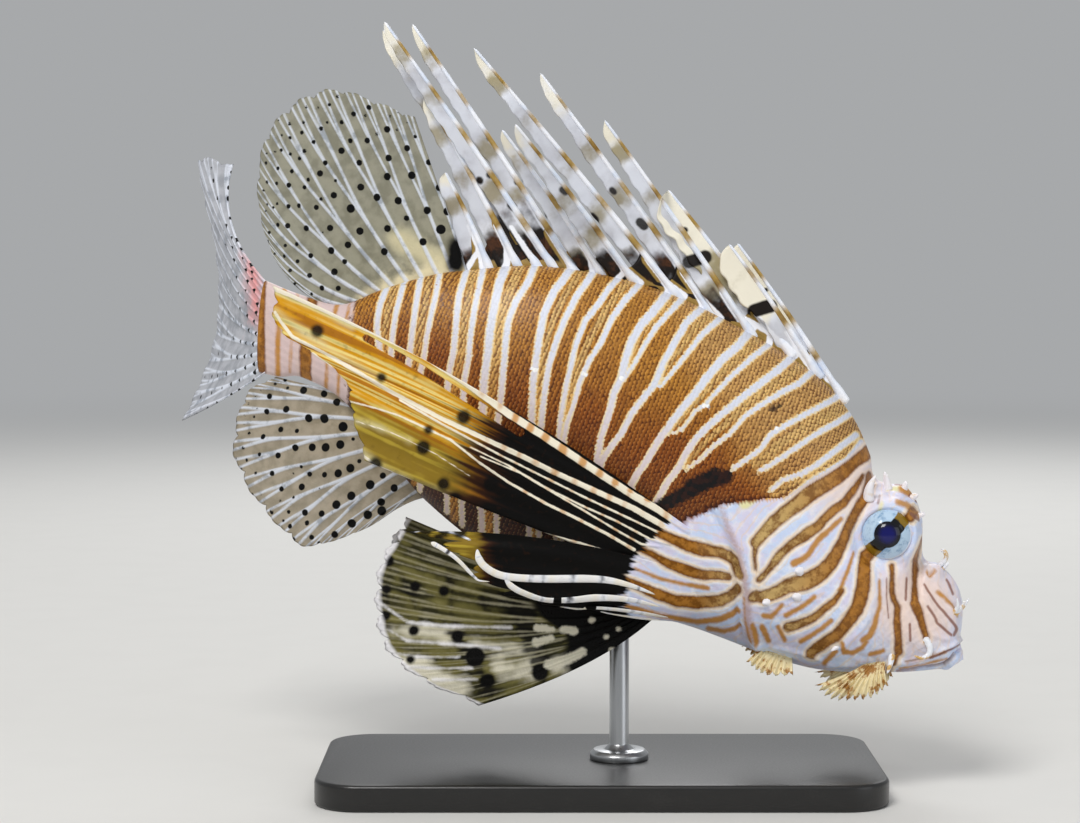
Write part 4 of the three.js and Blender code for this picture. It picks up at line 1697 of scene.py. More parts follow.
@dataclass(frozen=True)
class Skin:
    """One skin over head, jaw, trunk and tail, inside them by the depth of the scales."""

    columns: int = 312
    rows: int = 304
    inset: float = 0.35
    under: float = 0.08
    row_places: tuple = (123.5, 118.0, 100.0, 62.0, 30.0, -75.0, -114.0)
    row_shares: tuple = (0.0, 0.07, 0.22, 0.54, 0.68, 0.84, 1.0)
    side_share: float = 0.15
    band_height: float = 0.26
    band_middle: float = 0.6
    wrinkle_height: float = 0.1
    fine_height: float = 0.045
    crest_fade: tuple = (0.12, 0.4)
    snout_fade: tuple = (0.2, 2.5)
    tail_fade: float = -110.0
    search_span: tuple = (56, 122)
    search_edge: float = 0.05
    search_steps: int = 260

    def course(self, along: Array) -> Array:
        """Place along the body of a share of the rows."""
        return np.interp(along, self.row_shares, self.row_places)

    def turn(self, across: Array) -> Array:
        """Angle round the body of a share of the columns, which stand closer on the sides."""
        return across * 2 * math.pi + self.side_share * np.sin(across * 4 * math.pi)

    def folded(self, angle: Array) -> Array:
        """The angle from the crest down either side, for one from 0 to a full turn."""
        return np.where(angle > math.pi, 2 * math.pi - angle, angle)

    def seen(self, t: Array, fold: Array) -> Array:
        """Pixels where skin points, or their mirrored twins, show on the right side."""
        return PHOTO.pixels(POSE.world(FLESH.skin(t, -fold, -self.inset)))

    def relief(self, fold: Array, pixels: Array) -> Array:
        """Height of folds, grooves and wrinkles in millimetres.

        Args:
            fold: angles from the crest down either side.
            pixels: places in the photo.

        Returns:
            The heights.
        """
        height = sum(fold_line.swell(pixels) for fold_line in HEAD_RELIEF)
        pale = pale_share(pixels)
        across, down = pixels.T
        bands = smooth(nearest(BROWN_BANDS, pixels), -0.4, 0.8) - self.band_middle
        bend = ripple(across * 0.043, down * 0.057 + 1.3) * 9
        wrinkles = ripple(across * 0.62 + down * 0.5 + bend, down * 0.55 - across * 0.31 - bend)
        fine = ripple(across * 1.31 - down * 0.9 - bend, across * 0.8 + down * 1.27)
        grain = self.band_height * bands + self.wrinkle_height * wrinkles + self.fine_height * fine
        return (height + pale * grain) * smooth(np.sin(fold), *self.crest_fade)

    def surface(self, t: Array, angle: Array) -> Array:
        """Sculpted skin in the fish's frame, at angles from 0 to a full turn.

        Args:
            t: places along the body.
            angle: angles from the crest, from 0 to a full turn.

        Returns:
            The points in the fish's frame.
        """
        fold = self.folded(angle)
        here, _, _, out = FLESH.frame_at(t, angle, -self.inset)
        low, high = (FLESH.snout - edge for edge in self.snout_fade)
        ends = smooth(t, low, high) * smooth(t, FLESH.tail_root, self.tail_fade)
        pixels = self.seen(t, fold)
        height = self.relief(fold, pixels) * ends - self.under * (1 - pale_share(pixels))
        points = here + out * height[:, None]
        right = angle > math.pi
        points[right] = EYE.socket(points[right], Side.RIGHT)
        points[~right] = EYE.socket(points[~right], Side.LEFT)
        return points

    def build(self, finish: bpy.types.Material) -> bpy.types.Object:
        """Makes the skin.

        Args:
            finish: the material.

        Returns:
            The object.
        """

        def shape(across: Array, along: Array) -> Array:
            """Places of the skin, closed at both ends.

            Args:
                across: shares across the grid.
                along: shares along the grid.

            Returns:
                Places in metres.
            """
            t = self.course(along)
            points = self.surface(t, self.turn(across))
            for end in (0.0, 1.0):
                cap = np.isclose(along, end)
                points[cap] = FLESH.point(t[cap], 0.0, FLESH.widest(t[cap]))
            return POSE.world(points)

        skin = grid_object("skin", self.columns, self.rows, shape)
        t = self.course(read(skin, "along"))
        fold = self.folded(self.turn(read(skin, "across")))
        v = POSE.fish(places_of(skin))[:, 2]
        store(skin, **markings(self.seen(t, fold), t, v))
        return settle(skin, "skin", finish, "head", "lower_jaw", "trunk", "tail")

    def find(self, pixels: Array) -> tuple:
        """Place and outward direction of the skin that shows at pixels on the right side.

        Args:
            pixels: places in the photo.

        Returns:
            The points and their outward directions.
        """
        along = np.linspace(*self.search_span, self.search_steps)
        around = np.linspace(self.search_edge, math.pi - self.search_edge, self.search_steps)
        t, fold = (n.ravel() for n in np.meshgrid(along, around))
        spots = self.seen(t, fold)
        best = [int(np.argmin(np.sum((spots - pixel) ** 2, 1))) for pixel in pixels]
        t, angle = t[best], 2 * math.pi - fold[best]
        _, _, _, out = FLESH.frame_at(t, angle, -self.inset)
        return self.surface(t, angle), out


SKIN = Skin()


@dataclass(frozen=True)
class Scales:
    """Scales over the flank, as thin plates that overlap like tiles."""

    front: float = 84.0
    rear: float = -111.5
    row_step: float = 1.12
    column_step: float = 1.24
    face_size: float = 0.72
    overlap: float = 2.0
    tip_lift: float = 0.12
    root_sink: float = 0.04
    dome: float = 0.03
    thickness: float = 0.05
    half_width: float = 0.6
    root_width: float = 0.62
    widest_at: float = 0.45
    side_overlap: float = 1.12
    face_span: tuple = (50, 74)
    tail_loss: float = 0.2
    tail_span: tuple = (-70, -105)
    crest_from: float = 58.0
    crest_gap: float = 0.12
    arc_steps: int = 240
    side_jitter: float = 0.07
    row_jitter: float = 0.06
    turn_jitter: float = 0.07
    size_jitter: float = 0.04
    paint_share: float = 0.75
    patch: float = 0.003
    patch_edge: float = 0.01
    rim_steps: int = 8

    def size_at(self, t: Array) -> Array:
        """Size of scales along the body, smaller on the face and the tail."""
        face = 1 - (1 - self.face_size) * smooth(t, *self.face_span)
        return face * (1 - self.tail_loss * smooth(t, *self.tail_span))

    def roots(self) -> tuple:
        """Places of the roots on one side, in rows that are half a scale off each other.

        Returns:
            Places along the body, and angles from the crest.
        """
        rng = np.random.default_rng(SEED)
        rows_t, rows_fold = [], []
        folds = np.linspace(0.0, math.pi, self.arc_steps)
        t, odd = self.front, False
        while t > self.rear:
            size = float(self.size_at(t))
            points = FLESH.skin(np.full(self.arc_steps, t), folds)
            arc = np.concatenate([[0], np.cumsum(np.linalg.norm(np.diff(points, axis=0), axis=1))])
            count = int(arc[-1] / (self.column_step * size))
            spots = (np.arange(count) + (0.75 if odd else 0.25)) / count
            spots = spots + rng.normal(0, self.side_jitter, count) / count
            rows_fold.append(np.interp(spots * arc[-1], arc, folds))
            rows_t.append(np.full(count, t) + rng.normal(0, self.row_jitter, count) * size)
            t -= self.row_step * size
            odd = not odd
        return np.concatenate(rows_t), np.concatenate(rows_fold)

    def kept(self, t: Array, fold: Array) -> Array:
        """Which roots carry a scale: none on the white ground of the head, fin base and tail root.

        Args:
            t: places along the body.
            fold: angles from the crest down either side.

        Returns:
            True where a scale is kept.
        """
        pixels = SKIN.seen(t, fold)
        crest = (t < self.crest_from) | (fold > self.crest_gap)
        return (pale_share(pixels) < 0.5) & crest & (t < self.front)

    def template(self) -> tuple:
        """One scale: points as (back, aside, up) shares with their lift, and its faces.

        Returns:
            The points and the faces.
        """
        bm = bmesh.new()
        bmesh.ops.create_uvsphere(bm, u_segments=self.rim_steps, v_segments=2, radius=1.0)
        ball = np.array([v.co for v in bm.verts])
        faces = [[v.index for v in face.verts] for face in bm.faces]
        bm.free()
        x, y, z = ball.T
        back = 0.5 + 0.5 * x
        narrow = self.root_width + (1 - self.root_width) * smooth(back, 0.0, self.widest_at)
        aside = y * narrow * self.half_width
        up = self.tip_lift * back - self.root_sink + self.dome * z * (z > 0) - self.thickness * (z < 0)
        return np.stack([back, aside, up], 1), faces

    def build(self, finish: bpy.types.Material) -> None:
        """Makes the scales of both sides.

        Args:
            finish: the material.
        """
        t, fold = self.roots()
        kept = self.kept(t, fold)
        t, fold = t[kept], fold[kept]
        rng = np.random.default_rng(SEED + 1)
        shade = rng.uniform(0, 1, len(t))
        turn = rng.normal(0, self.turn_jitter, len(t))
        size = self.size_at(t) * rng.normal(1.0, self.size_jitter, len(t))
        template, faces = self.template()
        for side in Side:
            self.cover(side, (t, fold, shade, turn, size), (template, faces), finish)

    def cover(self, side: Side, roots: tuple, form: tuple, finish: bpy.types.Material) -> bpy.types.Object:
        """Makes one side's scales as one joined mesh.

        Args:
            side: the side of the fish.
            roots: place along and round the body, shade, turn and size of each scale.
            form: the points and faces of one scale.
            finish: the material.

        Returns:
            The piece.
        """
        t, fold, _, turn, size = roots
        template, faces = form
        angle = fold * side.value
        here, ahead, around, out = FLESH.frame_at(t, angle, -SKIN.inset)
        here = here + out * SKIN.relief(fold, SKIN.seen(t, fold))[:, None]
        back = -ahead * np.cos(turn)[:, None] + around * np.sin(turn)[:, None]
        aside = unit(np.cross(out, back))
        length = self.row_step * self.overlap * size
        width = self.column_step * self.side_overlap * size
        points = (
            here[:, None]
            + back[:, None] * (template[None, :, :1] * length[:, None, None])
            + aside[:, None] * (template[None, :, 1:2] * width[:, None, None])
            + out[:, None] * (template[None, :, 2:] * size[:, None, None])
        )
        count, corners = len(t), len(template)
        mesh = bpy.data.meshes.new(f"scales_{side.label}")
        starts = (np.arange(count) * corners)[:, None, None]
        loops = (np.array(faces)[None] + starts).reshape(-1, len(faces[0]))
        if side is Side.RIGHT:
            loops = loops[:, ::-1]
        mesh.from_pydata(POSE.world(points.reshape(-1, 3)).tolist(), [], loops.tolist())
        mesh.shade_flat()
        piece = bpy.data.objects.new(mesh.name, mesh)
        bpy.context.scene.collection.objects.link(piece)
        self.paint(piece, roots, template)
        return settle(piece, "skin", finish)

    def paint(self, piece: bpy.types.Object, roots: tuple, template: Array) -> None:
        """Gives one side's scales their markings and a UV map, each scale a small patch at its root's place.

        Args:
            piece: the side's joined scales.
            roots: place along and round the body, shade, turn and size of each scale.
            template: the points of one scale.
        """
        t, fold, shade, _, size = roots
        corners = len(template)
        tips = (t[:, None] - template[None, :, 0] * (self.row_step * self.overlap * size)[:, None]).ravel()
        folds = np.repeat(fold, corners)
        centre_t = np.repeat(t - size * self.row_step, corners)
        mid_t = self.paint_share * tips + (1 - self.paint_share) * centre_t
        pixels = SKIN.seen(mid_t, folds)
        v = FLESH.skin(mid_t, folds)[:, 2]
        store(piece, tip=np.tile(template[:, 0], len(t)), shade=np.repeat(shade, corners),
              **markings(pixels, mid_t, v))
        low, high = self.patch_edge, 1 - self.patch_edge
        across = np.clip((FLESH.snout - t) / (FLESH.snout - FLESH.tail_root), low, high)
        around = np.clip(0.5 + np.sign(piece.data.vertices[0].co.y) * fold / (2 * math.pi), low, high)
        spots = np.stack([np.repeat(across, corners), np.repeat(around, corners)], 1)
        spots += np.tile(template[:, :2] - np.array([0.5, 0.0]), (len(t), 1)) * self.patch
        layer = piece.data.uv_layers.new(name=COAT_MAP)
        loops = np.empty(len(piece.data.loops), np.int32)
        piece.data.loops.foreach_get("vertex_index", loops)
        layer.data.foreach_set("uv", spots[loops].astype(np.float32).ravel())


@dataclass(frozen=True)
class Thorn:
    """A small pointed part that grows from the skin at a pixel, towards another pixel."""

    root: tuple
    tip: tuple
    radius: float
    out: float = 1.0
    bend: tuple = ()


@dataclass(frozen=True)
class HeadParts:
    """Brow spines, cheek spines and small feelers on the head."""

    thorns: tuple = (
        Thorn((869, 501), (876, 475), 1.9, 0.7, ((869.5, 488),)),
        Thorn((889, 489), (886, 473), 1.5, 0.7), Thorn((904, 489), (907, 482), 1.2, 0.8),
        Thorn((912, 498), (918.5, 494.5), 1.4, 0.9), Thorn((918, 516), (925, 514), 1.2, 0.9),
        Thorn((800, 571.3), (796, 571.5), 1.7, 1.1), Thorn((797, 597), (793, 597), 1.7, 1.1),
        Thorn((767, 603), (763, 603.5), 1.5, 1.1), Thorn((838, 648), (831, 651), 0.9, 1.0),
    )
    feelers: tuple = (
        Thorn((938, 567), (939.5, 550.5), 0.85, 1.6, ((943.5, 562), (946, 557.5), (944, 552))),
        Thorn((925, 637), (913.5, 655.5), 1.2, 2.6, ((929.5, 646), (929, 654), (921.7, 658))),
        Thorn((954, 614), (957, 598), 0.9, 1.5, ((957.5, 607),)),
        Thorn((955, 615), (966, 600.7), 0.9, 1.6, ((960, 609),)),
        Thorn((941, 569), (948, 563), 0.8, 1.2, ((945, 567),)),
        Thorn((893, 655), (887, 674), 1.1, 2.4, ((890, 665),)),
    )
    steps: int = 14
    rooted: float = 0.8
    cone: tuple = (1.6, 0.35)
    worm: tuple = (4, 0.55)

    def taper(self, power: float, loss: float) -> Array:
        """Share of the radius along a part, round at the tip by a power and thinner there by a loss."""
        shares = np.linspace(0, 1, self.steps + 1)
        return np.sqrt(np.clip(1 - shares**power, 0, 1)) * (1 - loss * shares)

    def course(self, part: Thorn) -> Array:
        """Path in metres on the right side.

        Args:
            part: the part.

        Returns:
            The path.
        """
        root, out = SKIN.find(np.array([part.root], float))
        start = POSE.world(root - out * self.rooted)[0]
        y = POSE.world(root)[0][1]
        corners = [start]
        stops = (*part.bend, part.tip)
        for i, pixel in enumerate(stops):
            corners.append(PHOTO.at(pixel, y - part.out * MM * (i + 1) / len(stops)))
        return Guide(corners)(np.linspace(0, 1, self.steps + 1))

    def build(self, pale: bpy.types.Material, warm: bpy.types.Material) -> None:
        """Makes the parts of both sides.

        Args:
            pale: material of the spines.
            warm: material of the feelers.
        """
        for side in Side:
            feelers = tuple(f"{name}_{side.label}" for name in ("nose_feeler", "lip_feeler"))
            kinds = ((self.thorns, self.cone, "head_spines", pale, ()),
                     (self.feelers, self.worm, "head_feelers", warm, feelers))
            for parts, form, name, finish, nodes in kinds:
                tubes = [self.one(part, self.taper(*form), side) for part in parts]
                settle(joined(f"{name}_{side.label}", tubes), "flap", finish, *nodes)

    def one(self, part: Thorn, taper: Array, side: Side) -> bpy.types.Object:
        """Makes one part on a side.

        Args:
            part: the part.
            taper: share of the radius along the part.
            side: which side of the fish.

        Returns:
            The object.
        """
        path = self.course(part)
        if side is Side.LEFT:
            path = POSE.world(FLESH.mirrored(POSE.fish(path)))
        radii = taper * part.radius * MM
        radii[0] = 0.0
        return tube("thorn", path, radii)


# Fins


# How far apart a ray's branches lie at each fork, as shares of the space between rays, and how soon
FORK_SPREADS = (0.24, 0.115)
FORK_LENGTH = 0.5
FORK_LAST = 1.05
# Half the step over which a fan's directions are measured
NEARBY = 0.004


def before_after(share: Array) -> tuple:
    """Shares just before and after, within 0 to 1."""
    return np.clip(share - NEARBY, 0, 1), np.clip(share + NEARBY, 0, 1)


@dataclass(frozen=True)
class Fan:
    """Surface of a fin between the curve of its root and the curve of its tips."""

    root: tuple
    tips: tuple
    bow: tuple = ()
    rays: int = 10
    notch: float = 0.04
    middle: bool = False
    arch: float = 0.0
    arch_late: float = 1.0
    spread: float = 0.0
    reach: float = 1.0
    hinge: float = 40.0

    def surface(self, s: Array, r: Array, side: Side = Side.LEFT) -> Array:
        """Points at the share s from the first ray to the last and r from root to tip.

        Args:
            s: share across the rays.
            r: share of the way out.
            side: which side of the fish.

        Returns:
            Places in metres.
        """
        start, end = Guide(self.root)(s), Guide(self.tips)(s)
        control = Guide(self.bow)(s) if self.bow else (start + end) / 2
        if self.arch:
            chord = end - start
            across = np.stack([-chord[:, 2], 0 * s, chord[:, 0]], 1)
            control = control + unit(across) * (self.arch * np.sin(math.pi * s**self.arch_late))[:, None]
        r = r[:, None]
        points = (1 - r) ** 2 * start + 2 * r * (1 - r) * control + r * r * end
        if side is Side.LEFT and self.spread:
            beyond = np.maximum(self.hinge - points[:, 0], 0)
            points[:, 0] += beyond * (1 - self.reach)
            points[:, 1] += beyond * self.spread
        if side is Side.RIGHT:
            points[:, 1] *= -1
        return POSE.world(FLESH.fin_point(points) if self.middle else points)

    def lattice(self, columns: int, rows: int) -> tuple:
        """Even shares across and along, and the places that they give on the right side."""
        s, r = (n.ravel() for n in np.meshgrid(np.linspace(0, 1, columns), np.linspace(0.02, 1, rows)))
        return s, r, self.surface(s, r, Side.RIGHT)

    def out_at(self, s: Array, r: Array, side: Side) -> Array:
        """Unit vectors square to the surface.

        Args:
            s: shares across the rays.
            r: shares of the way out.
            side: which side of the fish.

        Returns:
            The vectors.
        """
        (low_s, high_s), (low_r, high_r) = before_after(s), before_after(r)
        across = self.surface(high_s, r, side) - self.surface(low_s, r, side)
        along = self.surface(s, high_r, side) - self.surface(s, low_r, side)
        return unit(np.cross(across, along))

    def ray_distance(self, s: Array, r: Array, forks: tuple, widths: tuple) -> Array:
        """Distance in millimetres from the edge of the nearest branched ray, negative inside.

        Args:
            s: share across the rays.
            r: share of the way out.
            forks: where each ray divides and divides again, as shares of the way out.
            widths: half width of a ray at the root and at the tip.

        Returns:
            The distances.
        """
        cell = s * (self.rays - 1)
        off = np.abs(cell - np.rint(cell))
        for fork, most in zip(forks, FORK_SPREADS):
            apart = most * smooth(r, fork, min(fork + FORK_LENGTH, FORK_LAST))
            off = np.abs(off - apart)
        low, high = before_after(s)
        gap = np.linalg.norm(self.surface(high, r) - self.surface(low, r), axis=1) / (high - low) / MM
        half = widths[0] + (widths[1] - widths[0]) * np.sqrt(r)
        return off * gap / (self.rays - 1) - half


@dataclass(frozen=True)
class Dots:
    """Round spots read from the photo, as "x,y,radius" in pixels, on one fan."""

    text: str

    def nearest(self, fan: Fan, places: Array) -> Array:
        """Distance in millimetres of places on a fan's right side from the nearest dot's edge.

        Args:
            fan: the surface that carries the dots.
            places: places in metres.

        Returns:
            The distances.
        """
        _, _, spots = fan.lattice(160, 120)
        seen = PHOTO.pixels(spots)
        best = np.full(len(places), FAR)
        for word in self.text.split():
            x, y, radius = (float(n) for n in word.split(","))
            centre = spots[int(np.argmin(np.sum((seen - (x, y)) ** 2, 1)))]
            away = np.linalg.norm(places - centre, axis=1) / MM
            best = np.minimum(best, away - radius * PHOTO.scale)
        return best


Fields = Callable[[Array, Array, Array, Array], dict]


@dataclass(frozen=True)
class Fin:
    """A thin closed sheet of skin over its rays."""

    name: str
    fan: Fan
    columns: int
    rows: int
    fields: Fields
    web: float = 0.10
    rib: float = 0.42
    wave: float = 0.25
    frills: int = 3
    frill_share: float = 0.25
    thinning: float = 0.55
    rib_edge: tuple = (0.25, -0.45)

    def build(self, side: Side) -> bpy.types.Object:
        """Makes the sheet on one side, with its fields read on the right side.

        Args:
            side: which side of the fish.

        Returns:
            The object.
        """
        half = self.columns // 2
        odd = self.fan.rays - 1

        def shares(across: Array, along: Array) -> tuple:
            """Shares across and along the fan, and the face of the sheet.

            Args:
                across: shares across the grid.
                along: shares along the grid.

            Returns:
                The three.
            """
            s, face = two_faced(across)
            cell = 1 - np.abs(np.cos(math.pi * s * odd)) ** 0.8
            fine = 1 - np.abs(np.cos(math.pi * s * odd * self.frills)) ** 0.7
            scallop = (1 - self.frill_share) * cell + self.frill_share * fine
            return s, along * (1 - self.fan.notch * scallop * smooth(along, 0.3, 1.0)), face

        def shape(across: Array, along: Array) -> Array:
            """Places of the sheet's two faces.

            Args:
                across: shares across the grid.
                along: shares along the grid.

            Returns:
                Places in metres.
            """
            s, r, face = shares(across, along)
            twin = self.fan.surface(s, r, Side.RIGHT)
            ray = self.fields(s, r, twin, PHOTO.pixels(twin))["ray"]
            edge, end = 0.5 / half, 0.5 / self.rows
            closed = shut(s, edge, 1 - edge) * shut(along, end, 1 - end)
            body = 1 - self.thinning * r
            thick = self.web + self.rib * body * np.sqrt(smooth(ray, *self.rib_edge))
            wave = self.wave * np.sin(2 * math.pi * s * odd) * smooth(r, 0.1, 0.7)
            out = self.fan.out_at(s, r, side)
            lift = (face * thick * closed + wave) * MM
            return self.fan.surface(s, r, side) + out * lift[:, None]

        sheet = grid_object(self.name, half * 2, self.rows, shape)
        s, r, _ = shares(read(sheet, "across"), read(sheet, "along"))
        twin = self.fan.surface(s, r, Side.RIGHT)
        store(sheet, **self.fields(s, r, twin, PHOTO.pixels(twin)), along=r)
        return sheet


# Dark dots of the fins
SOFT_DORSAL_DOTS = Dots(
    "338,96,2.1 329,104,2.1 369,107,2.8 307,108,1.8 318,109,1.7 354,114,2.9 366,115,2 399,112,1.5 "
    "390,116,1.7 278,121,1.4 290,124,2.1 303,122,2 328,122,1.7 341,122,2.6 407,123,1.2 302,132,2.1 "
    "321,129,2.6 377,134,2 387,130,3.4 398,130,1.7 269,135,1.4 281,135,1.5 290,138,2.1 314,141,2.4 "
    "351,140,2.8 368,140,3.1 415,136,2.1 282,150,2 275,151,1.7 268,153,1.5 291,154,2 305,151,2.4 "
    "341,150,3.5 407,148,3.4 300,159,2.3 388,158,3.5 429,162,3.1 267,163,2 325,163,2.8 360,163,3.2 "
    "279,169,2.1 292,171,2.3 320,174,3.4 309,179,2.3 387,177,4 412,176,4.1 336,180,2 267,182,1.8 "
    "277,183,2 289,186,2.8 305,187,2.4 361,187,3.8 441,187,3.7 264,190,1.5 334,196,3.4 377,197,4 "
    "321,199,2.1 398,201,4 268,205,1.4 277,204,1.7 274,207,1.4 288,206,2.6 299,206,2.6 316,208,2.8 "
    "351,209,4.6 427,211,4 452,209,4 265,211,1.4 260,217,1.2 407,218,3.1 278,225,2.3 288,226,2.8 "
    "307,228,3.2 331,228,3.5 360,230,4 387,228,3.7 441,230,4.9 270,233,1.8 323,233,1.4 268,241,1.5 "
    "297,244,2.3 348,244,3.7 423,241,3.8 285,246,2 311,256,2.8 331,251,3.8 384,251,4 284,256,2 "
    "275,254,1.4 298,261,2.1 345,261,2.8 290,270,2 310,275,2.6 335,272,3.7 295,284,1.8 322,288,2.8 "
    "338,288,2.9 312,294,1.7"
)
ANAL_DOTS = Dots(
    "285,380,2.3 275,384,2 271,379,1.2 262,381,1.3 261,390,1.1 288,388,1.9 270,396,3.2 304,390,4 "
    "324,394,3.7 337,402,4 255,396,1.2 249,404,1.5 258,408,1.3 268,412,3.2 287,409,3.7 309,418,4.3 "
    "325,419,4.8 343,427,5.1 245,415,1.2 254,417,1.7 250,434,2.1 264,436,2.9 281,430,3.2 297,431,2.5 "
    "353,439,2 237,422,1.3 244,425,1.2 295,448,3.7 312,448,4 326,448,4.6 340,444,4.6 237,436,1.5 "
    "244,449,2 260,454,2.4 278,455,3.2 236,458,1.2 247,461,1.9 302,466,2 233,449,1.6 241,469,1.7 "
    "256,472,1.9 273,473,2.9 293,473,1.3 309,474,2.9 325,475,3.1 338,473,4.3 350,468,4.6 359,461,2.4 "
    "282,489,2.9 302,487,3.7 320,489,1.2 280,501,1.7 294,498,1.7 265,503,1.3 261,494,1.2 289,511,2.1 "
    "305,513,3.5 322,514,3.5 337,505,4.6 352,496,4.6 370,485,4.8 383,475,3.3 273,513,2 283,521,1.6 "
    "308,523,2.7 290,527,2.7 278,527,2.1 294,540,2.4 311,537,2.7 335,534,3.7 352,524,4.3 368,515,4.6 "
    "381,502,4 382,511,4.8 394,488,4 319,543,1.9 253,495,1.6 271,511,1.3"
)
PECTORAL_DOTS = Dots(
    "317,331,5.5 382,378,4.5 463,417,6.5 509,441,5 559,466,5 428,430,4 423,447,6 444,484,5.5 492,484,7 "
    "376,463,6 438,539,5 430,559,5 467,564,6 510,586,6"
)
# Pale rays of the upper pectoral fin
PECTORAL_RAYS = (
    stroke("272,286 292,294 330,311 372,330 425.8,356 467,383 509,414 545,437 577,458.6 598.6,473 634,496 "
           "659,510 688,530", 8, 7),
    stroke("275,312 281,322 293,337 324.7,353 358,372 392.7,392.7 442.4,419 473.6,433.6 527,458.6 "
           "555.7,472.9 598.6,492.5 634,508.6 679,535", 3, 6),
    stroke("400,400 442,424 474,441 500,455 540,475 580,495 620,514 660,533", 2, 2),
    stroke("470,447 509,465.7 545,487 580.7,505 616.4,521 650,539 670,544", 1.2, 2.2),
    stroke("480,456 520,472.9 555.7,494 580.7,508.6 616.4,530 641.4,544 657.5,546", 1.2, 2.2),
    stroke("348,401 376,408 398,415 426,428 451,440 480,463 508,482 545,503 572,516 607.5,534 634,549.6",
           1.5, 3),
    stroke("356,421 385,430 404,438 436,454 470,476", 1.2, 0.6),
    stroke("349.5,444 376,465.7 409,480 441,498 491,517.5 527,530 580.7,544 607.5,553 629,560", 2.5, 4.5),
    stroke("313,353 330,366 345,382 347,400", 2.5, 2.5),
)
# Slit through which the flank shows, and the cream rims of the rays
PECTORAL_GAP = (stroke("366,338 420,368 470,400 520,432", 7, 9),)
PECTORAL_CREAM = (
    stroke("276,310 300,330 340,355 380,378", 6, 2), stroke("276,292 300,302 352,326", 4, 3),
    stroke("350,420 372,424 410,440", 5, 2), stroke("350,444 380,466 440,492 520,522", 5, 2),
)
# Where the banded base of the pectoral fin starts: rows of the photo, and the columns there
PECTORAL_EDGE = (
    (470, 500, 515, 530, 545, 560, 575, 600, 630), (700, 686, 676, 661, 645, 634, 628, 625, 630),
)
LOWER_RAYS = (stroke("407,533 430,529 455,533 470,540", 2, 2),)
# White rays along the lower pectoral fin, and the black marks on them
FREE_RAYS = (
    stroke("477,549 479,559 487,568 500,574.5 520,577.5 550,578.5 602,579 630,585 655,594", 7, 8),
    stroke("427,550 430,559 439,569 452,575.5 470,579 490,581", 5, 3),
    stroke("504,577 512,586 526,593 545,598.5 570,599 596,597 630,599 660,606", 6, 8.5),
    stroke("560,605 590,606 620,608.5 650,613 668,616", 4, 6),
    stroke("600,612 630,616 660,619", 3, 4),
)
FREE_RAY_MARKS = (
    stroke("498,569 512,572", 8), stroke("556,600 559,601", 7), stroke("590,606 594,607", 5),
    stroke("521,580 530,581", 4), stroke("536,574 548,575", 3), stroke("600,601 612,601", 3.5),
    stroke("575,582 590,583", 2.5), stroke("620,585 634,588", 2.5),
)
PELVIC_DOTS = Dots(
    "457,637,5.5 475,658,9 488,680,8 540,672,8 414,631,5 410,660,4 386,616,5 388,561,6 414,586,5 "
    "444,591,6 387,590,4"
)
# White spots, pale folds, black smears and white lines of the pelvic fin
PELVIC_WHITE = (
    stroke("591,620 592,620", 6), stroke("618,629 619,629", 5), stroke("606,637 607,637", 5),
    stroke("537,628 552,629", 8, 5), stroke("536,642 551,638", 7, 5), stroke("563,629 574,631", 7, 9),
    stroke("549,665 566,660 582,652", 9, 8), stroke("612,650 616,655", 7),
)
PELVIC_CREAM = (
    stroke("392,658 425,672 458,688", 20, 22), stroke("392,632 420,634 450,637", 13, 15),
    stroke("470,641 500,645 528,648", 6, 10), stroke("498,668 530,670", 22, 24),
    stroke("556,670 586,655", 15, 12),
)
PELVIC_SMEARS = (
    stroke("456,630 460,645 476,661 489,690", 12, 17), stroke("514,598 525,620 532,640", 24, 22),
    stroke("540,662 545,688", 17, 16), stroke("402,575 408,590 416,606", 9, 7),
    stroke("448,575 452,592 450,606", 11, 9), stroke("482,596 484,608", 9, 10), stroke("382,590 388,604", 8),
    stroke("388,626 391,632", 7), stroke("386,663 390,668", 5),
)
PELVIC_LINES = (
    stroke("381,603.6 407,622 444,625.8 510.6,627.6", 2, 3),
    stroke("388.5,629.5 407,640.6 449.5,644 499.5,648", 2, 3),
    stroke("397.7,653.5 416,657 458.8,657", 1.8, 2.5), stroke("407,666.5 431,668 471.7,668", 1.8, 2.5),
    stroke("433,679.4 477,679.4", 1.6, 2),
)
# Black and cream patches at the root of the soft dorsal fin
SOFT_BLOTCHES = (stroke("456,246 456,264", 20, 21), stroke("374,299 387,304", 12))
SOFT_CREAM = (stroke("400,240 425,255 440,262", 25),)


def streaks(s: Array, r: Array) -> Array:
    """Uneven streaks from root to tip, between about -1 and 1."""
    broad, fine = s * 61 + 1.7 * np.sin(r * 6.0), s * 143 + r * 4.1 + 1.0
    return ripple(broad, fine, s * 97 - r * 7.3, s * 31 + r * 2.0)


def spotted_fields(fan: Fan, dots: Dots, forks: tuple, widths: tuple, blotches: tuple = (),
                   cream: tuple = ()) -> Fields:
    """Fields of a fin with branched rays and dots.

    Args:
        fan: the fin's surface.
        dots: its spots.
        forks: where its rays divide.
        widths: half widths of its rays.
        blotches: its black patches.
        cream: its pale patches.

    Returns:
        The function that gives the fields.
    """

    def fields(s: Array, r: Array, places: Array, pixels: Array) -> dict:
        """Fields at points of the fin.

        Args:
            s: shares across the rays.
            r: shares of the way out.
            places: places in metres.
            pixels: places in the photo.

        Returns:
            Fields by name.
        """
        return {
            "ray": fan.ray_distance(s, r, forks, widths), "spot": dots.nearest(fan, places), "pink": FAR,
            "blotch": nearest(blotches, pixels), "cream": nearest(cream, pixels),
        }

    return fields


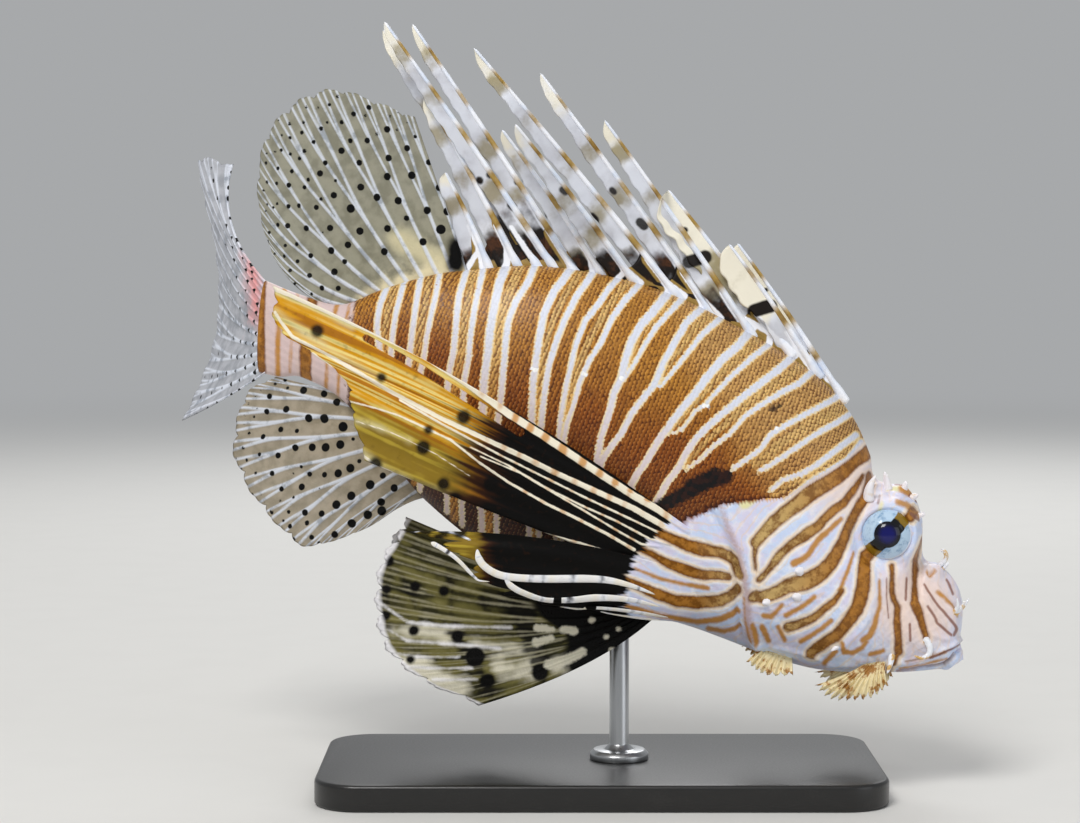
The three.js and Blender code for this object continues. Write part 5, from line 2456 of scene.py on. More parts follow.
def tail_fields(s: Array, r: Array, places: Array, pixels: Array) -> dict:
    """Fields of the tail fin, whose dots stand in rows on its rays.

    Args:
        s: shares across the rays.
        r: shares of the way out.
        places: places in metres.
        pixels: places in the photo; not used.

    Returns:
        Fields by name.
    """
    ray = TAIL_FAN.ray_distance(s, r, (0.35, 0.68), (0.55, 0.3))
    rng = np.random.default_rng(SEED + 2)
    best = np.full(len(s), FAR)
    for i in range(TAIL_FAN.rays):
        share = np.array([i / (TAIL_FAN.rays - 1)])
        for place in np.arange(0.16, 1.0, 0.135):
            shift = rng.uniform(-0.04, 0.04)
            radius = rng.uniform(0.7, 1.1) * (1 - 0.35 * place)
            centre = TAIL_FAN.surface(share, np.array([place + shift]), Side.RIGHT)[0]
            best = np.minimum(best, np.linalg.norm(places - centre, axis=1) / MM - radius)
    pink = np.maximum((r - 0.26) * 24, (s - 0.5) * 30)
    pink = np.maximum(pink, (0.09 - r) * 40)
    ray = np.minimum(ray, (s - 0.02) * 40)
    return {"ray": ray, "spot": best, "pink": pink, "blotch": FAR, "cream": FAR}


def base_fields(s: Array, r: Array, pixels: Array) -> dict:
    """Fields shared by both parts of the pectoral fin: the banded base and the streaks.

    Args:
        s: shares across the rays.
        r: shares of the way out.
        pixels: places in the photo.

    Returns:
        Fields by name.
    """
    across, down = pixels.T
    edge = np.interp(down, *PECTORAL_EDGE)
    return {
        **face_fields(pixels), "streak": streaks(s, r), "base": smooth(across - edge, -16, 16),
        "band": 0, "bandblack": 0, "pale_rim": FAR, "gap": FAR,
    }


def pectoral_fields(s: Array, r: Array, places: Array, pixels: Array) -> dict:
    """Fields of the broad upper part of the pectoral fin.

    Args:
        s: shares across the rays.
        r: shares of the way out.
        places: places in metres.
        pixels: places in the photo.

    Returns:
        Fields by name.
    """
    across, down = pixels.T
    run = across * 0.93 + down * 0.36
    waves = 0.5 + 0.5 * np.sin(run / 3.1 + 0.8 * np.sin(run / 17))
    inner = np.where(down < 0.52 * across + 165, waves, 0.7 * waves)
    return {
        **base_fields(s, r, pixels), "spot": PECTORAL_DOTS.nearest(PECTORAL_FAN, places), "lower": 0,
        "ray": nearest(PECTORAL_RAYS, pixels), "burn": smooth(across + (down - 440) * 0.35, 415, 560),
        "olive": smooth(down - 0.47 * across, 205, 262) * (1 - 0.5 * smooth(across, 420, 500)),
        "pale_rim": nearest(PECTORAL_CREAM, pixels), "gap": nearest(PECTORAL_GAP, pixels),
        "band": inner * smooth(across, 400, 540),
    }


def lower_fields(s: Array, r: Array, places: Array, pixels: Array) -> dict:
    """Fields of the lower part of the pectoral fin.

    Args:
        s: shares across the rays.
        r: shares of the way out.
        places: places in metres.
        pixels: places in the photo.

    Returns:
        Fields by name.
    """
    across = pixels[:, 0]
    return {
        **base_fields(s, r, pixels), "spot": PECTORAL_DOTS.nearest(LOWER_FAN, places), "lower": 1,
        "ray": nearest(LOWER_RAYS, pixels), "burn": smooth(across, 460, 510), "olive": 1,
    }


def pelvic_fields(s: Array, r: Array, places: Array, pixels: Array) -> dict:
    """Fields of the pelvic fin.

    Args:
        s: shares across the rays.
        r: shares of the way out.
        places: places in metres.
        pixels: places in the photo.

    Returns:
        Fields by name.
    """
    across, down = pixels.T
    edge = 549 + 9 * np.sin(down / 9.0) + 0.5 * (down - 630)
    return {
        "ray": PELVIC_FAN.ray_distance(s, r, (0.2, 0.5), (0.4, 0.16)), "streak": streaks(s, r),
        "spot": PELVIC_DOTS.nearest(PELVIC_FAN, places), "white": nearest(PELVIC_WHITE, pixels),
        "line": nearest(PELVIC_LINES, pixels), "smear": nearest(PELVIC_SMEARS, pixels),
        "pale_rim": nearest(PELVIC_CREAM, pixels), "burn": smooth(across - edge, -14, 20),
    }


def flap_fields(s: Array, r: Array, places: Array, pixels: Array) -> dict:
    """Fields of a frilled flap, ribbed like a leaf."""
    return {"ray": 0.7 * np.abs(np.sin(s * math.pi * 9)) - 0.35 + 0.1 * np.sin(r * 30)}


SOFT_DORSAL_FAN = Fan(
    root=((-59, 0, 38.5), (-77, 0, 23.5), (-91, 0, 13)),
    tips=((-93, 0, 77), (-106, 0, 77), (-120, 0, 75.6), (-129.5, 0, 67.8), (-134.5, 0, 55), (-131, 0, 38),
          (-122, 0, 24.5), (-112, 0, 16.6), (-104, 0, 15.2)),
    rays=12, notch=0.03, middle=True, arch=8.0, arch_late=2.0,
)
ANAL_FAN = Fan(
    root=((-43, 0, -27), (-60, 0, -19.5), (-80, 0, -9.5)),
    tips=((-51, 0, -33), (-58, 0, -44), (-67, 0, -53), (-75, 0, -58.3), (-86, 0, -55.5), (-97, 0, -50.2),
          (-106.6, 0, -42), (-110, 0, -31), (-109.5, 0, -21), (-103, 0, -13.6)),
    rays=10, notch=0.04, middle=True, arch=-3.0,
)
TAIL_FAN = Fan(
    root=((-115, 20.5, 11.5), (-111, 20.5, -1), (-106.5, 20, -14)),
    bow=((-142, 52, 20), (-134, 46, 14), (-129, 42, 4), (-122, 42, -8), (-119, 38, -20),
         (-115.5, 34.5, -27.6)),
    tips=((-143, 45, 42), (-156, 61, 39), (-151, 68, 28.7), (-143, 74, 16), (-136, 78, 1),
          (-131, 76, -14), (-129.5, 72, -30), (-129.2, 62, -42.4)),
    rays=13, notch=0.03,
)
PECTORAL_FAN = Fan(
    root=((44.2, 22, -8.4), (45.2, 21.5, -14), (46, 18.5, -21)),
    bow=((-38.4, 38, 13.8), (-25, 38, -2.5), (-10, 36, -22)),
    tips=((-110, 34, 15), (-105, 34, 4.5), (-91.5, 34, 1), (-80, 34, -3), (-75, 34, -10.5),
          (-66, 34, -22)),
    rays=8, notch=0.015, spread=0.12, reach=0.93,
)
LOWER_FAN = Fan(
    root=((46, 19, -17), (47, 15, -26), (46, 9, -31)),
    bow=((-3, 36.2, -16.5), (12, 32, -33), (25, 24, -36)),
    tips=((-46, 36, -36), (-32, 36, -37.5), (-18, 33, -43), (-3, 27, -42), (10, 20, -38.5)),
    rays=6, notch=0.12, spread=0.12, reach=0.93,
)
PELVIC_FAN = Fan(
    root=((33, 6.5, -34), (27, 7, -35.5), (20, 7, -36)),
    bow=((23, 11, -55.5), (4, 14, -56), (-10, 14, -38.5)),
    tips=((-7, 16, -79), (-28, 20, -77.5), (-40.6, 21, -72.2), (-47.5, 21, -62), (-51, 20, -50),
          (-49, 18, -38.5)),
    rays=9, notch=0.03,
)


def head_fan(root: tuple, tips: tuple, bow: tuple = (), rays: int = 7) -> Fan:
    """Fan of a flap on the head, with its points given along, across and up the body.

    Args:
        root: points along the root.
        tips: points along the tips.
        bow: points that the rays bend towards, or none.
        rays: how many rays it has.

    Returns:
        The fan.
    """
    root, tips, bow = (
        tuple(map(tuple, FLESH.point(*np.array(row, float).T))) if row else () for row in (root, tips, bow)
    )
    return Fan(root, tips, bow, rays, notch=0.2)


@dataclass(frozen=True)
class FreeRay:
    """A white ray along the lower pectoral fin, free of the skin, with a curled tip."""

    line: Stroke
    steps: int = 72
    sides: int = 14
    thickness: float = 0.35
    ahead: float = 0.5
    smoothings: int = 3
    root_taper: float = 0.12
    tip_taper: float = 0.3
    roundness: float = 0.55

    def place(self, pixels: Array) -> tuple:
        """Shares across and along the fin that show at pixels, each a mean of the nearest few.

        Args:
            pixels: places in the photo.

        Returns:
            The two shares.
        """
        s, r, spots = LOWER_FAN.lattice(150, 150)
        seen = PHOTO.pixels(spots)
        few, softness = 6, 0.5
        found = []
        for pixel in pixels:
            away = np.sum((seen - pixel) ** 2, 1)
            near = np.argsort(away)[:few]
            weight = 1 / (away[near] + softness)
            found.append((np.average(s[near], weights=weight), np.average(r[near], weights=weight)))
        return np.array(found).T

    def build(self, side: Side) -> bpy.types.Object:
        """Makes the ray on one side.

        Args:
            side: which side of the fish.

        Returns:
            The object.
        """
        shares = np.linspace(0, 1, self.steps + 1)
        pixels = Guide(self.line.course)(shares)
        s, r = self.place(pixels)
        out = LOWER_FAN.out_at(s, r, side)
        out = out * np.sign(out[:, 1:2]) * side.value
        path = LOWER_FAN.surface(s, r, side) + out * self.ahead * MM
        for _ in range(self.smoothings):
            path[1:-1] = (path[:-2] + 2 * path[1:-1] + path[2:]) / 4
        aside = unit(np.cross(np.gradient(path, axis=0), out))
        width = (self.line.width + (self.line.end_width - self.line.width) * shares) / 2 * PHOTO.scale
        near_end = np.minimum(shares / self.root_taper, (1 - shares) / self.tip_taper)
        taper = np.clip(near_end, 0, 1) ** self.roundness

        def shape(across: Array, along: Array) -> Array:
            """Places of the ray's wall.

            Args:
                across: shares across the grid.
                along: shares along the grid.

            Returns:
                Places in metres.
            """
            i = np.rint(along * self.steps).astype(int)
            turn = across * 2 * math.pi
            wide = aside[i] * (np.cos(turn) * width[i] * taper[i])[:, None]
            deep = out[i] * (np.sin(turn) * self.thickness * taper[i])[:, None]
            return path[i] + (wide + deep) * MM

        made = grid_object("free_ray", self.sides, self.steps, shape)
        seen = pixels[np.rint(read(made, "along") * self.steps).astype(int)]
        mark = smooth(nearest(FREE_RAY_MARKS, seen), 0.3, -0.5)
        fields = dict.fromkeys(base_fields(s, r, pixels), FAR)
        worn = ripple(seen[:, 0] * 0.19, seen[:, 0] * 0.43 + seen[:, 1], seen[:, 1] * 0.6)
        fields.update(gold=0, rose=0, tail=0, streak=0, base=0, band=0, bandblack=mark, burn=1, olive=0,
                      lower=0.5 + 0.5 * worn, ray=0.3 * worn - 0.24, spot=FAR)
        store(made, **fields)
        return made


@dataclass(frozen=True)
class Fins:
    """All fins but the spiny one."""

    def build(self) -> None:
        """Makes the fins."""
        spotted = WebFinish("spotted_fin_skin").build()
        anal = WebFinish("anal_fin_skin", web="#b0a48f", web_shade="#978c76", root="#e9d6b8",
                         root_share=0.03, clear=0.75).build()
        tail = WebFinish("tail_fin_skin", web="#c9cbd2", web_shade="#a9acb4", ray="#eef3ff", root="#8a5020",
                         root_share=0.06, clear=0.8).build()
        soft_fields = spotted_fields(SOFT_DORSAL_FAN, SOFT_DORSAL_DOTS, (0.3, 0.62), (0.72, 0.3),
                                     SOFT_BLOTCHES, SOFT_CREAM)
        anal_fields = spotted_fields(ANAL_FAN, ANAL_DOTS, (0.28, 0.6), (0.72, 0.36))
        middle = (
            (Fin("soft_dorsal_fin", SOFT_DORSAL_FAN, 400, 84, soft_fields), spotted),
            (Fin("anal_fin", ANAL_FAN, 360, 70, anal_fields), anal),
            (Fin("tail_fin", TAIL_FAN, 300, 64, tail_fields), tail),
        )
        for fin, finish in middle:
            settle(fin.build(Side.LEFT), "fin_web", finish, fin.name)
        pectoral, pelvic = PectoralFinish().build(), PelvicFinish().build()
        flap = FlapFinish().build()
        for side in Side:
            self.paired(side, pectoral, pelvic)
            self.flaps(side, flap)

    def paired(self, side: Side, pectoral: bpy.types.Material, pelvic: bpy.types.Material) -> None:
        """Makes the pectoral and the pelvic fin of one side.

        Args:
            side: which side of the fish.
            pectoral: the pectoral fin's material.
            pelvic: the pelvic fin's material.
        """
        upper = Fin("pectoral_upper", PECTORAL_FAN, 230, 200, pectoral_fields, rib=0.4, wave=0.3)
        lower = Fin("pectoral_lower", LOWER_FAN, 180, 110, lower_fields, rib=0.5, wave=0.4)
        name = f"pectoral_fin_{side.label}"
        parts = [upper.build(side), lower.build(side)] + [FreeRay(line).build(side) for line in FREE_RAYS]
        settle(joined(name, parts), "fin_web", pectoral, name)
        name = f"pelvic_fin_{side.label}"
        fin = Fin(name, PELVIC_FAN, 260, 100, pelvic_fields, wave=0.12)
        settle(fin.build(side), "fin_web", pelvic, name)

    def flaps(self, side: Side, finish: bpy.types.Material) -> None:
        """Makes the frilled flaps under the jaw and on the cheek of one side.

        Args:
            side: which side of the fish.
            finish: the material.
        """
        sign = side.value
        lip = (((98.5, 11.5, -22), (102.5, 11.5, -19)),
               ((85, 17, -34.6), (91, 17, -36.5), (97.5, 17, -34.5), (103.5, 16, -31), (106.5, 15, -26)),
               ((92, 17, -29), (103.5, 17, -23)), 12)
        cheek = (((66, 11, -29.5), (75, 11.5, -28.5)),
                 ((62.5, 15.5, -36), (69, 16, -37.5), (78, 15, -34.5)), (), 8)
        for label, (root, tips, bow, rays) in (("lip_flap", lip), ("cheek_flap", cheek)):
            turned = [tuple((t, w * sign, v) for t, w, v in row) for row in (root, tips, bow)]
            fan = head_fan(*turned, rays=rays)
            name = f"{label}_{side.label}"
            sheet = Fin(name, fan, 150, 40, flap_fields, web=0.22, rib=0.35, wave=0.55).build(Side.LEFT)
            settle(sheet, "flap", finish, name)


@dataclass(frozen=True)
class Spine:
    """One dorsal spine: where it stands, how long it is and how it leans."""

    t: float
    length: float
    lean: float
    splay: float
    width: float

    def axes(self) -> tuple:
        """Crest point, and unit vectors to the rear edge, along the spine and across it.

        Returns:
            The point and the three vectors in the fish's frame.
        """
        back, out = math.radians(self.lean), math.radians(self.splay)
        ahead, left, up = FLESH.ahead(self.t), FLESH.left(self.t), np.array([0.0, 0.0, 1.0])
        trail = -ahead * math.cos(back) - up * math.sin(back)
        rise = -ahead * math.sin(back) + up * math.cos(back)
        rise = rise * math.cos(out) + left * math.sin(out)
        crest = FLESH.point(self.t, 0.0, FLESH.back(self.t))
        return crest, trail, rise, np.cross(trail, rise)


# The thirteen spines from the head back: place, length, lean, splay and width of the skin
SPINES = tuple(Spine(*row) for row in (
    (58, 55, 56, 2, 6), (48, 46, 56, -3, 6.5), (37.5, 60, 58, 2, 8), (25.3, 77, 57, -3, 4.6),
    (12, 88, 58, 2, 4), (1, 96, 62, -4, 3.8), (-12.6, 62, 60, -20, 3.8), (-22.5, 54, 57, -18, 3.8),
    (-31, 90, 56, 4, 3.8), (-37, 90, 57, -2, 3.8), (-41.6, 87, 56, 3, 3.8), (-47, 59, 51, -2, 4.2),
    (-55, 32, 47, 1, 5),
))


# Which white stripe of the flank runs up which spine, both counted from 0
STRANDS = (
    (4, 12), (5, 12), (6, 11), (7, 10), (8, 8), (9, 7), (10, 6), (11, 6), (12, 5), (13, 5), (14, 4), (15, 4),
    (16, 3), (17, 3), (18, 2), (19, 1), (20, 0),
)


def strand(stripe: int, number: int) -> Stroke:
    """White strand that carries a stripe of the flank up to its spine.

    Args:
        stripe: the stripe's number.
        number: the spine's number.

    Returns:
        The strand.
    """
    crest, _, rise, _ = SPINES[number].axes()
    above = PHOTO.pixels(POSE.world(np.array([crest + rise * h for h in (6.0, 14.0)])))
    line = WHITE_STRIPES[stripe]
    return Stroke(np.vstack([line.course[1::-1], above]), line.width * 0.75, 4.5)


@dataclass(frozen=True)
class SpinyDorsal:
    """Thirteen banded spines, each with its strip of skin, on a low dark web."""

    root: float = 4.0
    rod_radius: float = 1.05
    tip_radius: float = 0.4
    band_step: float = 16.0
    first_band: float = 10.5
    skin_half: float = 0.16
    web_front: float = 60.0
    web_rear: float = -60.0
    web_high: float = 17.0
    web_low: float = 5.0
    broad_from: float = 6.0
    near_lobe: int = 2
    lobe_curl: float = 5.0
    ragged: float = 0.14
    flutter: float = 0.8
    web_root: float = 2.5
    web_rise: float = 1.35
    web_step: float = 0.4
    web_thick: tuple = (0.2, 0.5)
    narrow_skin: Profile = Profile((
        (0, 1.0), (0.5, 0.78), (0.75, 0.66), (0.9, 0.55), (0.965, 0.36), (1, 0.0),
    ))
    broad_skin: Profile = Profile((
        (0, 0.8), (0.4, 0.62), (0.6, 0.8), (0.8, 0.95), (0.92, 0.78), (0.98, 0.42), (1, 0.0),
    ))
    spots: tuple = (
        stroke("683,230 685,230", 5), stroke("489,138 490,138", 5.5), stroke("490,175 491,175", 6.5),
        stroke("518,182 519,182", 6.5), stroke("511,205 513,207", 8), stroke("563,190 565,192", 7.5),
        stroke("592,217 595,220", 8), stroke("479,180 480,181", 5.5), stroke("765,290 766,290", 4.5),
        stroke("689,262 705,257", 13), stroke("754,311 770,306", 13), stroke("640,222 644,226", 8),
        stroke("612,190 614,192", 6), stroke("540,214 543,218", 7),
    )

    def bands(self, i: int, from_tip: Array) -> Array:
        """How strongly a band colours a spine at distances from its tip.

        Args:
            i: the spine's number, from 0 at the head.
            from_tip: distances from the spine's tip in millimetres.

        Returns:
            Strengths from 0 to 1.
        """
        phase = 2 * math.pi * (from_tip - self.first_band - 0.7 * (i % 3)) / self.band_step
        drift = 0.12 * np.sin(from_tip * 0.23 + i * 2.1)
        return np.clip(0.5 + 0.5 * np.cos(phase) + drift, 0, 1) * smooth(from_tip, 2.0, 8.0)

    def leading(self, spine: Spine, f: Array) -> Array:
        """Place of the rod's middle between the front and rear edge."""
        start = -spine.width * 0.3 + self.rod_radius * 0.9
        return start * (1 - f) ** 0.8 - 0.9 * np.sin(math.pi * np.clip(f, 0, 1)) * 0.6

    def rod(self, spine: Spine, i: int) -> bpy.types.Object:
        """Makes the bony rod of one spine.

        Args:
            spine: the spine.
            i: the spine's number, from 0 at the head.

        Returns:
            The object.
        """
        crest, trail, rise, across = spine.axes()

        def shape(around: Array, along: Array) -> Array:
            """Places of the rod's wall.

            Args:
                around: shares round the rod.
                along: shares of the way up.

            Returns:
                Places in metres.
            """
            h = -self.root + (spine.length + self.root) * along
            f = np.clip(h / spine.length, 0, 1)
            radius = self.rod_radius + (self.tip_radius - self.rod_radius) * f**1.2
            radius = radius * (1 + 0.5 * smooth(h, 5, 0)) * np.sqrt(shut(along, 0.01, 0.985))
            turn = around * 2 * math.pi
            x = self.leading(spine, f) + np.cos(turn) * radius
            y = np.sin(turn) * radius * 0.92
            return POSE.world(crest + x[:, None] * trail + h[:, None] * rise + y[:, None] * across)

        made = grid_object("rod", 12, 90, shape)
        h = -self.root + (spine.length + self.root) * read(made, "along")
        band = self.bands(i, spine.length - h) * smooth(h, 8, 14)
        store(made, rod=1, band=band, cream=0, low=0, spot=FAR, white=FAR, amber=0)
        return made

    def strip(self, spine: Spine, i: int) -> bpy.types.Object:
        """Makes the strip of skin behind one spine.

        Args:
            spine: the spine.
            i: the spine's number, from 0 at the head.

        Returns:
            The object.
        """
        crest, trail, rise, across = spine.axes()
        broad = spine.width >= self.broad_from
        widths = self.broad_skin if broad else self.narrow_skin
        full = spine.width * 0.9 + 1.6
        phases = np.random.default_rng(SEED + 10 + i).uniform(0, 6.28, 3)

        def shape(across_share: Array, f: Array) -> Array:
            """Places of the strip's two faces.

            Args:
                across_share: shares across the grid.
                f: shares of the way up.

            Returns:
                Places in metres.
            """
            s, face = two_faced(across_share)
            h = -self.root * 0.6 + (spine.length * 0.995 + self.root * 0.6) * f
            share = np.clip(h / spine.length, 0, 1)
            rough = ripple(h * 0.42 + phases[0], h * 1.1 + phases[1], h * 0.23 + phases[2])
            reach = full * widths(share) * (1 + self.ragged * rough * smooth(share, 0.15, 0.4))
            start = self.leading(spine, share)
            x = start + (reach - start) * s
            closed = shut(s, 0.04, 0.93) * shut(f, 0.01, 0.99)
            curl = self.flutter * np.sin(h * 0.16 + i) * s
            if i == self.near_lobe:
                curl = curl - self.lobe_curl * s**1.2 * smooth(share, 0.35, 0.7)
            y = face * self.skin_half * closed + curl
            return POSE.world(crest + x[:, None] * trail + h[:, None] * rise + y[:, None] * across)

        made = grid_object("strip", 28, 110, shape)
        s, f = two_faced(read(made, "across"))[0], read(made, "along")
        h = spine.length * f
        pixels = PHOTO.pixels(places_of(made))
        cream = smooth(f, 0.35, 0.6) if broad else 0.6 * smooth(f, 0.7, 0.95)
        low = smooth(f, 0.45, 0.12) * (0.8 if i % 2 else 1.0) * smooth(s, 0.1, 0.35)
        band = self.bands(i, spine.length - h) * (1.0 if not broad else 0.6) * smooth(s, -0.6, 0.4)
        band = band * (0.75 + 0.35 * np.sin(h * 0.13 + i * 1.9))
        if i == self.near_lobe:
            band = np.maximum(band * 0.2, smooth(np.abs(f - 0.5), 0.2, 0.1))
        store(made, rod=0, band=band, cream=cream, low=low, spot=nearest(self.spots, pixels),
              white=nearest(self.strands(), pixels), amber=0)
        return made

    def strands(self) -> tuple:
        """White strands at the feet of the spines."""
        return tuple(strand(*pair) for pair in STRANDS)

    def web(self) -> bpy.types.Object:
        """Makes the low web along the back, which stands high behind each spine.

        Returns:
            The object.
        """
        roots = np.array([spine.t for spine in SPINES])[::-1]
        rises = np.array([spine.axes()[2] for spine in SPINES])[::-1]

        def course(along: Array) -> Array:
            """Place along the body of a share of the web."""
            return self.web_rear + (self.web_front - self.web_rear) * along

        def height(t: Array) -> Array:
            """Height of the web along the body.

            Args:
                t: places along the body.

            Returns:
                The heights.
            """
            ahead = np.minimum(np.searchsorted(roots, t - self.web_step), len(roots) - 1)
            behind = np.maximum(ahead - 1, 0)
            gap = np.maximum(roots[ahead] - roots[behind], 5.0)
            q = np.clip((roots[ahead] - t) / gap, 0, 1)
            drop = (1 - q) ** self.web_rise * smooth(t, -62.0, -50.0)
            full = self.web_low + (self.web_high - self.web_low) * drop
            full = np.where(t > roots[-1] + self.web_step, self.web_root, full)
            front = smooth(t, self.web_front, self.web_front - 3)
            return full * front * smooth(t, self.web_rear, self.web_rear + 4)

        def shape(across: Array, along: Array) -> Array:
            """Places of the web's two faces.

            Args:
                across: shares across the grid.
                along: shares along the grid.

            Returns:
                Places in metres.
            """
            s, face = two_faced(across)
            t = course(along)
            h = -self.web_root + (height(t) + self.web_root) * s
            closed = shut(s, 0.05, 0.9) * shut(along, 0.004, 0.996)
            top, more = self.web_thick
            thick = face * (top + more * smooth(h, 3, 0)) * closed
            points = FLESH.point(t, thick, FLESH.back(t))
            rise = unit(np.stack([np.interp(t, roots, rises[:, k]) for k in range(3)], 1))
            rise = np.where((h > 0)[:, None], rise, np.array([0.0, 0.0, 1.0]))
            return POSE.world(points + rise * h[:, None])

        made = grid_object("web", 30, 430, shape)
        s, t = two_faced(read(made, "across"))[0], course(read(made, "along"))
        h = -self.web_root + (height(t) + self.web_root) * s
        white = nearest(self.strands(), PHOTO.pixels(places_of(made)))
        amber = np.maximum(smooth(white, 1.5, 0.5), 0.8 * smooth(h, 3.5, 1.5))
        store(made, rod=0, band=0, cream=0, low=1, spot=FAR, white=white, amber=amber)
        return made

    def build(self) -> bpy.types.Object:
        """Makes the whole fin.

        Returns:
            The object.
        """
        parts = [self.web()]
        for i, spine in enumerate(SPINES):
            parts += [self.rod(spine, i), self.strip(spine, i)]
        name = "spiny_dorsal_fin"
        return settle(joined(name, parts), "fin_spine", SpineFinish().build(), name)


# Stand, floor and light


def rounded(bm: bmesh.types.BMesh, edges: Sequence[bmesh.types.BMEdge], offset: float,
            segments: int) -> None:
    """Rounds edges, starting an offset in millimetres away from them."""
    bmesh.ops.bevel(bm, geom=edges, offset=offset * MM, offset_type="OFFSET", affect="EDGES",
                    segments=segments, profile=0.5, material=-1)


@dataclass(frozen=True)
class Stand:
    """Flat base with one rod up to the belly."""

    length: float = 170.0
    width: float = 84.0
    height: float = 8.0
    corner: float = 14.0
    edge: float = 1.2
    rod_radius: float = 3.0
    rod_x: float = 6.0
    rod_top: float = 58.0
    rod_edge: float = 0.25
    rod_steps: int = 64
    foot_radius: float = 9.0
    foot_height: float = 3.0
    foot_slope: float = 1.2
    foot_throat: float = 1.6

    def base(self) -> bpy.types.Object:
        """Makes the base: a slab with round corners and a softened edge.

        Returns:
            The object.
        """
        bm = bmesh.new()
        bmesh.ops.create_cube(bm, size=1.0)
        bmesh.ops.scale(bm, vec=(self.length * MM, self.width * MM, self.height * MM), verts=bm.verts)
        bmesh.ops.translate(bm, vec=(0, 0, self.height / 2 * MM), verts=bm.verts)
        upright = [e for e in bm.edges if abs(e.verts[0].co.z - e.verts[1].co.z) > self.height / 2 * MM]
        rounded(bm, upright, self.corner, 14)
        rims = [e for e in bm.edges if abs(e.verts[0].co.z - e.verts[1].co.z) < FLAT
                and any(abs(f.normal.z) < 0.5 for f in e.link_faces)]
        rounded(bm, rims, self.edge, 4)
        bmesh.ops.recalc_face_normals(bm, faces=bm.faces)
        return object_from("stand_base_slab", bm)

    def rod(self) -> bpy.types.Object:
        """Makes the rod and its round foot as one turned piece.

        Returns:
            The object.
        """
        radius, foot, low = self.rod_radius, self.foot_radius, self.height
        slope, throat, high = self.foot_slope, self.foot_throat, low + self.foot_height
        corners = (
            (0, low), (foot, low), (foot, high - slope), (foot - slope, high), (radius + throat, high),
            (radius, high + throat), (radius, self.rod_top), (0, self.rod_top),
        )
        bm = bmesh.new()
        verts = [bm.verts.new((self.rod_x * MM + x * MM, 0, z * MM)) for x, z in corners]
        edges = [bm.edges.new(pair) for pair in zip(verts, verts[1:])]
        bmesh.ops.spin(bm, geom=verts + edges, cent=(self.rod_x * MM, 0, 0), axis=(0, 0, 1),
                       angle=2 * math.pi, steps=self.rod_steps, use_merge=True)
        bmesh.ops.remove_doubles(bm, verts=bm.verts, dist=FLAT)
        bmesh.ops.recalc_face_normals(bm, faces=bm.faces)
        sharp = [e for e in bm.edges if e.is_manifold and e.calc_face_angle() > 0.5]
        rounded(bm, sharp, self.rod_edge, 2)
        return object_from("stand_rod_turned", bm)

    def build(self) -> None:
        """Makes the stand."""
        paint = PlainFinish("satin_black", "#171615", "#232220", 0.36, coat=0.15, grain=1500)
        steel = PlainFinish("brushed_steel", "#b9bbbd", "#9b9d9f", 0.3, metallic=1.0, grain=700,
                            stretch=(1.0, 1.0, 0.02))
        settle(self.base(), "stand_base", paint.build(), "stand_base")
        settle(self.rod(), "stand_rod", steel.build(), "stand_rod")


@dataclass(frozen=True)
class Lamp:
    """A soft light: where it hangs, how large it is and how bright."""

    name: str
    place: tuple
    size: float
    power: float
    colour: tuple = (1.0, 1.0, 1.0)


@dataclass(frozen=True)
class FloorFinish:
    """Pale floor that passes into the background far away."""

    background: tuple
    colour: str = "#dddcd9"
    worn: str = "#dcdbd8"
    none: str = "#000000"
    near: float = 0.7
    far: float = 2.4

    def build(self) -> bpy.types.Material:
        """Makes the finish.

        Returns:
            The material.
        """
        p = Paint("pale_floor")
        length = p.node("ShaderNodeVectorMath", {"operation": "LENGTH"}, {0: p.place()})
        away = p.step(Amount(p, length.outputs["Value"]), self.near, self.far)
        ground = p.lay(self.colour, self.worn, p.noise(40, 3), -0.1, 0.2)
        return p.finish(
            Base_Color=p.mix(away, ground, self.none), Roughness=0.6, Specular_IOR_Level=0.0,
            Emission_Color=p.mix(away, self.none, self.background), Emission_Strength=1.0,
        )


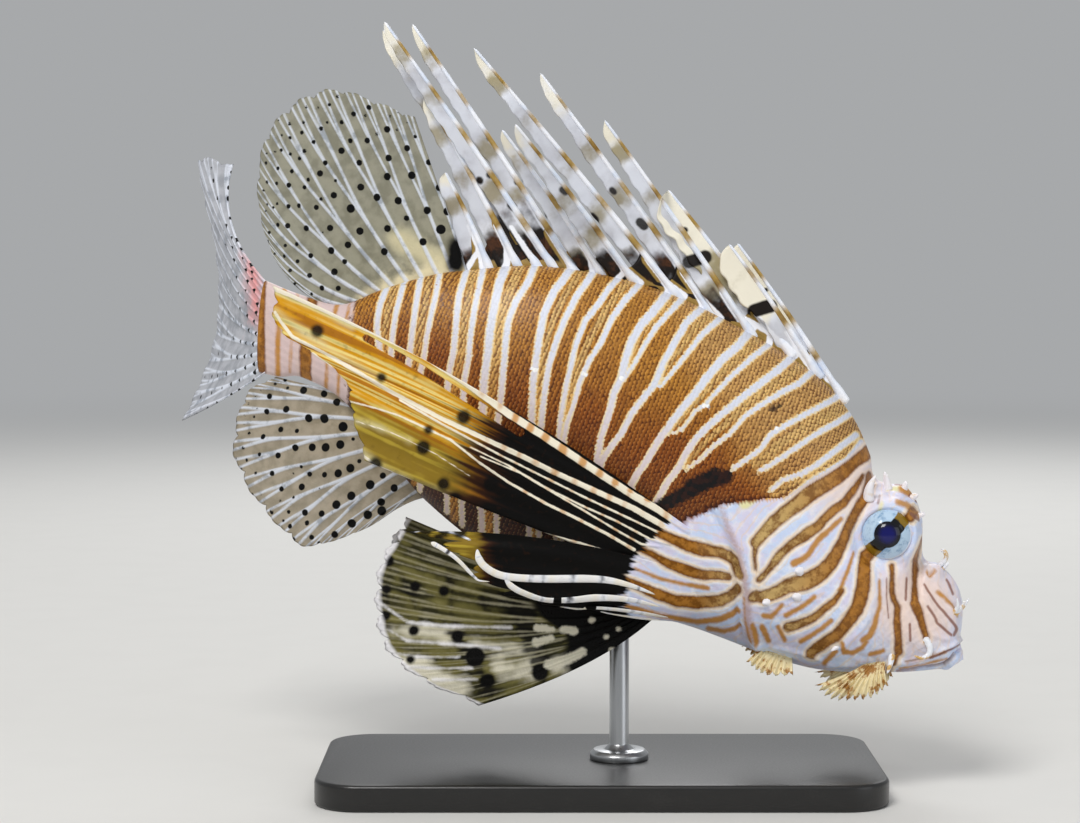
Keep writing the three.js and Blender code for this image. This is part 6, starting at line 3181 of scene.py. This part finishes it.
@dataclass(frozen=True)
class Studio:
    """Plain pale floor with soft light from above and both sides."""

    floor_half: float = 12.0
    sky: float = 0.45
    sky_colour: tuple = (0.86, 0.88, 0.9)
    aim: tuple = (0.0, 0.0, 0.12)
    lamps: tuple = (
        Lamp("key", (-0.45, -0.95, 1.35), 0.6, 16.0, (1.0, 0.985, 0.96)),
        Lamp("fill", (1.3, -0.9, 0.5), 1.0, 3.5, (0.93, 0.96, 1.0)),
        Lamp("back", (0.2, 1.2, 1.0), 0.8, 8.0),
    )

    def build(self) -> None:
        """Makes the floor, the lights and the world."""
        bm = bmesh.new()
        bmesh.ops.create_grid(bm, x_segments=8, y_segments=8, size=self.floor_half)
        floor = object_from("floor", bm)
        background = tuple(shade * self.sky for shade in self.sky_colour)
        floor.data.materials.append(FloorFinish((*background, 1.0)).build())
        for lamp in self.lamps:
            self.hang(lamp)
        world = bpy.data.worlds.new("studio")
        world.use_nodes = True
        inputs = world.node_tree.nodes["Background"].inputs
        inputs["Color"].default_value = (*self.sky_colour, 1)
        inputs["Strength"].default_value = self.sky
        bpy.context.scene.world = world
        bpy.context.scene.view_settings.view_transform = "Standard"

    def hang(self, lamp: Lamp) -> None:
        """Makes one light, turned towards the fish.

        Args:
            lamp: the light.
        """
        data = bpy.data.lights.new(lamp.name, "AREA")
        data.size = lamp.size
        data.energy = lamp.power
        data.color = lamp.colour
        hung = bpy.data.objects.new(lamp.name, data)
        hung.location = lamp.place
        x, y, z = np.array(self.aim) - np.array(lamp.place)
        hung.rotation_euler = (math.atan2(math.hypot(x, y), -z), 0, math.atan2(-x, y))
        bpy.context.scene.collection.objects.link(hung)


def main() -> None:
    """Builds the fish, its stand and the studio in order."""
    logging.basicConfig(level=logging.INFO, format="%(name)s %(message)s")
    PHOTO.build()
    Studio().build()
    Stand().build()
    SKIN.build(SkinFinish().build("lionfish_skin", False))
    Scales().build(SkinFinish().build("lionfish_scales", True))
    eye_finish = EyeFinish().build()
    for side in Side:
        EYE.build(side, eye_finish)
    HeadParts().build(
        PlainFinish("pale_skin", "#f4f1f6", "#e3c8a0", 0.45, grain=500, depth=0.0001).build(),
        FlapFinish("feeler_skin", cream="#eef0f6", brown="#d9b069", dark="#a8742c").build(),
    )
    Fins().build()
    SpinyDorsal().build()


if __name__ == "__main__":
    main()
